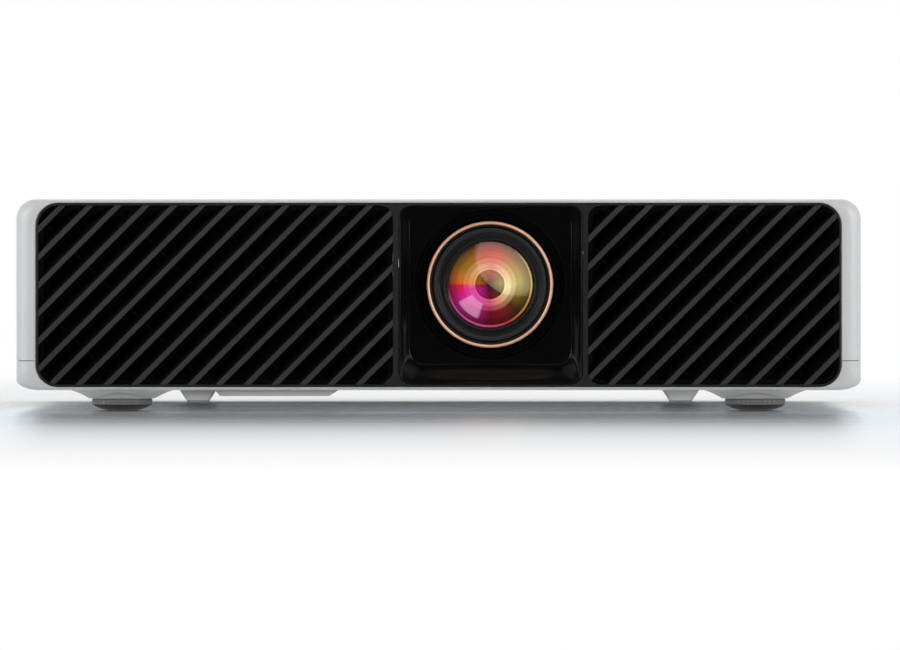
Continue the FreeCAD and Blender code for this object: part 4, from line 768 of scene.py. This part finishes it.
def d_loop(width, height, y):
    """The D outline of a video plug: wider above than below."""
    points = []
    for u, v in rounded((-width / 2, width / 2), (-height / 2, height / 2), 2.1 * MM, 6):
        points.append(Vector((VGA[0] + u * (1 + 0.05 * v / height), y, VGA[1] + v)))
    return points


def vga_collar():
    """The plated shell round the video socket."""
    sections = (
        (17.1, 8.7, 2.0), (17.1, 8.7, 0.3), (16.9, 8.5, 0.12),
        (16.1, 7.7, 0.12), (15.9, 7.5, 0.3), (15.9, 7.5, 2.0),
    )
    loops = [d_loop(width * MM, height * MM, PANEL_BACK - deep * MM) for width, height, deep in sections]
    return skin(loops, closed=True)


piece("vga_collar", *vga_collar(), NICKEL, "projector", "socket_steel")


def post_nuts():
    """Plated hexagonal posts each side of the video socket, with a threaded hole."""
    count, half_side, spread = 48, TURN / 12, 12.5 * MM
    sections = (
        (2.86, -3.0, True), (2.86, -0.45, True), (2.55, -0.18, True),
        (1.35, -0.15, False), (1.3, -2.4, False),
    )
    parts = []
    for dx in (-spread, spread):
        rings = []
        for r, y, hexagonal in sections:
            ring_points = []
            for i in range(count):
                t = TURN * i / count
                off_flat = (t + half_side) % (2 * half_side) - half_side
                reach = r * MM * (math.cos(half_side) / math.cos(off_flat) if hexagonal else 1)
                ring_points.append(Vector((
                    VGA[0] + dx + reach * math.cos(t), PANEL_BACK + y * MM, VGA[1] + reach * math.sin(t)
                )))
            rings.append(ring_points)
        parts.append(skin(rings, closed=True))
    return merged(parts)


piece("vga_posts", *post_nuts(), NICKEL, "projector", "socket_steel", 20.0)


def contacts():
    """Gold strips on the tongues of the HDMI and USB sockets."""
    base, thick, inner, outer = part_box("data_sockets")[0].z, 0.08, -10.0, -2.2
    parts = []
    # middle of the socket in x and above the base, width of the row, strips in it, half the tongue
    for x, middle, row, count, half in (
        (-120, 2.8, 11.0, 10, 0.62), (-96, 2.8, 11.0, 10, 0.62),
        (-70, 2.9, 9.0, 4, 0.92), (-52, 2.0, 4.2, 5, 0.62),
    ):
        width = row / count * 0.55
        for i in range(count):
            u = x + (i - (count - 1) / 2) * row / count
            for z in (middle - half - 0.03, middle + half - 0.05):
                a = (u - width / 2) * MM, PANEL_BACK + inner * MM, base + z * MM
                b = (u + width / 2) * MM, PANEL_BACK + outer * MM, base + (z + thick) * MM
                parts.append(bar(a, b))
    return merged(parts)


piece("socket_contacts", *contacts(), GOLD, "projector", "socket_steel")


def jack_collars(look_name, color, x):
    """Coloured collar round an audio jack."""
    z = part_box("audio_jacks")[0].z + 4.95 * MM
    rings = [
        upright_circle(x, PANEL_BACK + y * MM, z, r * MM, 64)
        for r, y in ((3.5, -1.5), (3.5, -0.35), (3.3, -0.14), (2.3, -0.14), (2.1, -0.3), (2.1, -1.5))
    ]
    tone = moulded(look_name, color, 0.35, grain=0.4 * MM, depth=0.008 * MM)
    piece(look_name, *skin(rings, closed=True), tone, "projector", "jack_black")


low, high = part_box("audio_jacks")
jack_collars("line_in_collar", (0.03, 0.16, 0.42), low.x + 5.5 * MM)
jack_collars("line_out_collar", (0.16, 0.42, 0.10), high.x - 5.5 * MM)


# ---- fans ---------------------------------------------------------------------------------------


def hub_label(side):
    """Foil label on a fan's hub, with a raised rim round it."""
    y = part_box(f"{side}_fan_rotor")[0].y
    frame_low, frame_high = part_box(f"{side}_fan_frame")
    x, z = (frame_low.x + frame_high.x) / 2, (frame_low.z + frame_high.z) / 2
    profile = (
        (15.0, 0.3), (15.0, -0.25), (14.6, -0.32), (14.0, -0.3), (13.8, -0.12), (0.05, -0.12), (0.05, 0.3),
    )
    rings = [upright_circle(x, y + dy * MM, z, r * MM, 96) for r, dy in profile]
    piece(f"{side}_hub_label", *skin(rings, closed=True), PAPER, f"{side}_fan", "fan_black")


hub_label("left")
hub_label("right")


# ---- label underneath ---------------------------------------------------------------------------

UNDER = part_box("lamp_door")[1].z - 2.4 * MM  # underside of the case
LABEL_X, LABEL_Y = (-0.020, 0.052), (-0.040, 0.004)


def label_outline(inset, corner):
    x, y = (LABEL_X[0] + inset, LABEL_X[1] - inset), (LABEL_Y[0] + inset, LABEL_Y[1] - inset)
    return rounded(x, y, corner)


def label_border():
    """A printed line round the label."""
    inset, width = 1.5 * MM, 0.35 * MM
    outer, inner = label_outline(inset, 1.5 * MM), label_outline(inset + width, 1.2 * MM)
    top, bottom = UNDER - 0.10 * MM, UNDER - 0.15 * MM
    rows = ((outer, top), (outer, bottom), (inner, bottom), (inner, top))
    return skin([[Vector((u, v, z)) for u, v in loop] for loop, z in rows], closed=True)


label = slab(label_outline(0, 2.5 * MM), UNDER - 0.12 * MM, UNDER + 0.02 * MM)
piece("rating_label", *label, PAPER, "projector", "door_silver")
piece("label_border", *label_border(), RING, "projector", "ring_black")


# ---- studio -------------------------------------------------------------------------------------

def outside(look):
    """How far a point on the floor is from under the object, in metres."""
    half = (cad_box[1].x, cad_box[1].y, 0)
    away = look.feed(look.add("ShaderNodeVectorMath", operation="ABSOLUTE"), _0=look.place).outputs[0]
    away = look.feed(look.add("ShaderNodeVectorMath", operation="SUBTRACT"), _0=away, _1=half).outputs[0]
    away = look.feed(look.add("ShaderNodeVectorMath", operation="MAXIMUM"), _0=away, _1=(0, 0, 0)).outputs[0]
    return look.feed(look.add("ShaderNodeVectorMath", operation="LENGTH"), _0=away).outputs["Value"]


def floor_finish():
    """A pale floor, glossy at a low angle in front of the object, that fades to white all round it."""
    look = Look("floor", (0.80, 0.81, 0.82), 0.7, Specular_IOR_Level=0.1)
    tone = look.noise(0.5, 2.0)
    look.set(
        Base_Color=look.mix(look.span(tone, 0, 1), (0.72, 0.73, 0.74), (0.75, 0.76, 0.77)),
        Roughness=look.span(tone, 0.65, 0.75),
    )
    away = outside(look)
    spot = look.feed(look.add("ShaderNodeSeparateXYZ"), Vector=look.place).outputs
    beside = look.math("SUBTRACT", look.math("ABSOLUTE", spot["X"]), cad_box[1].x)
    gloss = look.add("ShaderNodeBsdfAnisotropic")
    sheen = look.feed(gloss, Color=(0.88, 0.95, 1.0, 1), Roughness=0.26).outputs[0]
    grazing = look.feed(look.add("ShaderNodeLayerWeight"), Blend=0.5).outputs["Facing"]
    mirror = look.math("MULTIPLY", look.math("POWER", grazing, 3.0), look.span(away, 1.0, 0, 0.05, 0.95))
    mirror = look.math("MULTIPLY", mirror, look.span(beside, 1, 0, 0.0, 0.1))
    mirror = look.math("MULTIPLY", mirror, look.span(spot["Y"], 1, 0, -0.10, 0.12))
    polished = look.feed(look.add("ShaderNodeMixShader"), _0=mirror, _1=look.bsdf.outputs[0], _2=sheen)
    white = look.feed(look.add("ShaderNodeEmission"), Color=(1, 1, 1, 1), Strength=1.0).outputs[0]
    seen = look.add("ShaderNodeLightPath").outputs["Is Camera Ray"]
    pale = look.math("MAXIMUM", look.span(away, 0, 1, 0.25, 1.0), look.span(beside, 0, 1, 0.0, 0.3))
    fade = look.math("MULTIPLY", seen, pale)
    fading = look.feed(look.add("ShaderNodeMixShader"), _0=fade, _1=polished.outputs[0], _2=white)
    look.feed(look.tree.nodes["Material Output"], Surface=fading.outputs[0])
    return look


def studio_floor():
    reach = 9.0
    corners = [(x, y, 0) for x, y in ((-reach, -reach), (reach, -reach), (reach, reach), (-reach, reach))]
    mesh = bpy.data.meshes.new("floor")
    mesh.from_pydata(corners, [], [(0, 1, 2, 3)])
    mesh.materials.append(floor_finish().mat)
    floor = bpy.data.objects.new("floor", mesh)
    floor.visible_glossy = False
    scene.collection.objects.link(floor)


def studio_world():
    """White to the camera. For other rays it brightens from dark in front to white behind."""
    world = bpy.data.worlds.new("studio")
    scene.world = world
    world.use_nodes = True
    tree = world.node_tree
    direction = tree.nodes.new("ShaderNodeSeparateXYZ")
    tree.links.new(tree.nodes.new("ShaderNodeTexCoord").outputs["Generated"], direction.inputs[0])
    sweep = tree.nodes.new("ShaderNodeMapRange")
    sweep.inputs["From Min"].default_value = -1.0
    sweep.inputs["From Max"].default_value = 1.0
    tree.links.new(direction.outputs["Y"], sweep.inputs["Value"])
    shade = tree.nodes.new("ShaderNodeValToRGB")
    stops = [(0.0, 0.006), (0.08, 0.008), (0.22, 0.20), (0.5, 0.36), (0.8, 0.70), (1.0, 1.0)]
    while len(shade.color_ramp.elements) < len(stops):
        shade.color_ramp.elements.new(1.0)
    for element, (position, value) in zip(shade.color_ramp.elements, stops):
        element.position = position
        element.color = (value, value, value, 1)
    tree.links.new(sweep.outputs["Result"], shade.inputs["Fac"])
    choice = tree.nodes.new("ShaderNodeMix")
    choice.data_type = "RGBA"
    tree.links.new(tree.nodes.new("ShaderNodeLightPath").outputs["Is Camera Ray"], choice.inputs[0])
    tree.links.new(shade.outputs["Color"], choice.inputs[6])
    choice.inputs[7].default_value = (1, 1, 1, 1)
    tree.links.new(choice.outputs[2], tree.nodes["Background"].inputs["Color"])


studio_floor()
studio_world()


def softbox(name, place, aim, size, watts, shape="RECTANGLE"):
    """A soft light at a place, aimed at a point. It doesn't show itself to the camera."""
    data = bpy.data.lights.new(name, "AREA")
    data.shape = shape
    data.size, data.size_y = size
    data.energy = watts
    made = bpy.data.objects.new(name, data)
    made.location = place
    made.rotation_euler = (Vector(aim) - Vector(place)).to_track_quat("-Z", "Y").to_euler()
    made.visible_camera = False
    scene.collection.objects.link(made)
    return made


MIDDLE = (0, 0, 0.05)
softbox("overhead", (0, -0.2, 1.5), MIDDLE, (1.6, 1.1), 8).visible_glossy = False
softbox("left_side", (-1.5, -0.5, 0.5), MIDDLE, (0.9, 0.9), 12)
softbox("right_side", (1.5, -0.5, 0.5), MIDDLE, (0.9, 0.9), 12)
softbox("rear_fill", (0.4, 1.9, 1.1), MIDDLE, (1.4, 1.0), 24).visible_glossy = False


def only_on(light, names):
    """Keeps a light to the named objects."""
    group = bpy.data.collections.new(light.name + "_on")
    for name in names:
        group.objects.link(bpy.data.objects[name] if name in bpy.data.objects else nodes[name])
    light.light_linking.receiver_collection = group


TILT, SPREAD, FAR = math.radians(32), math.radians(32.5), 1.5
toward = Vector((math.sin(TILT) * 0.67, -math.cos(TILT), math.sin(TILT) * 0.74))  # up and to the right
disc = softbox("lens_disc", LENS + toward * FAR, LENS, (2 * FAR * math.tan(SPREAD),) * 2, 9.5, "DISK")
only_on(disc, ["front_element", "trim_ring", "baffle_cell"])
under_strip = softbox("under_strip", (0, -1.6, 0.04), (0, 0, 0.01), (2.4, 0.07), 26)
under_strip.visible_glossy = False
only_on(under_strip, ["rear_feet", "rear_foot_pads", "lamp_door"])
low_strip = softbox("low_strip", (0, -1.6, 0.05), (0, 0, 0.02), (2.4, 0.09), 12)
low_strip.visible_glossy = False

STANDOFF, AIM_Z = 3.03, 0.0409
EYE = Vector((0.0054, LENS.y - STANDOFF, LENS.z))
camera_data = bpy.data.cameras.new("camera")
camera_data.sensor_width = 36
camera_data.lens = 256.7
camera_data.clip_end = 60
camera = bpy.data.objects.new("camera", camera_data)
camera.location = EYE
camera.rotation_euler = (Vector((EYE.x, LENS.y, AIM_Z)) - EYE).to_track_quat("-Z", "Y").to_euler()
scene.collection.objects.link(camera)
scene.camera = camera
scene.view_settings.view_transform = "Standard"
scene.view_settings.look = "None"
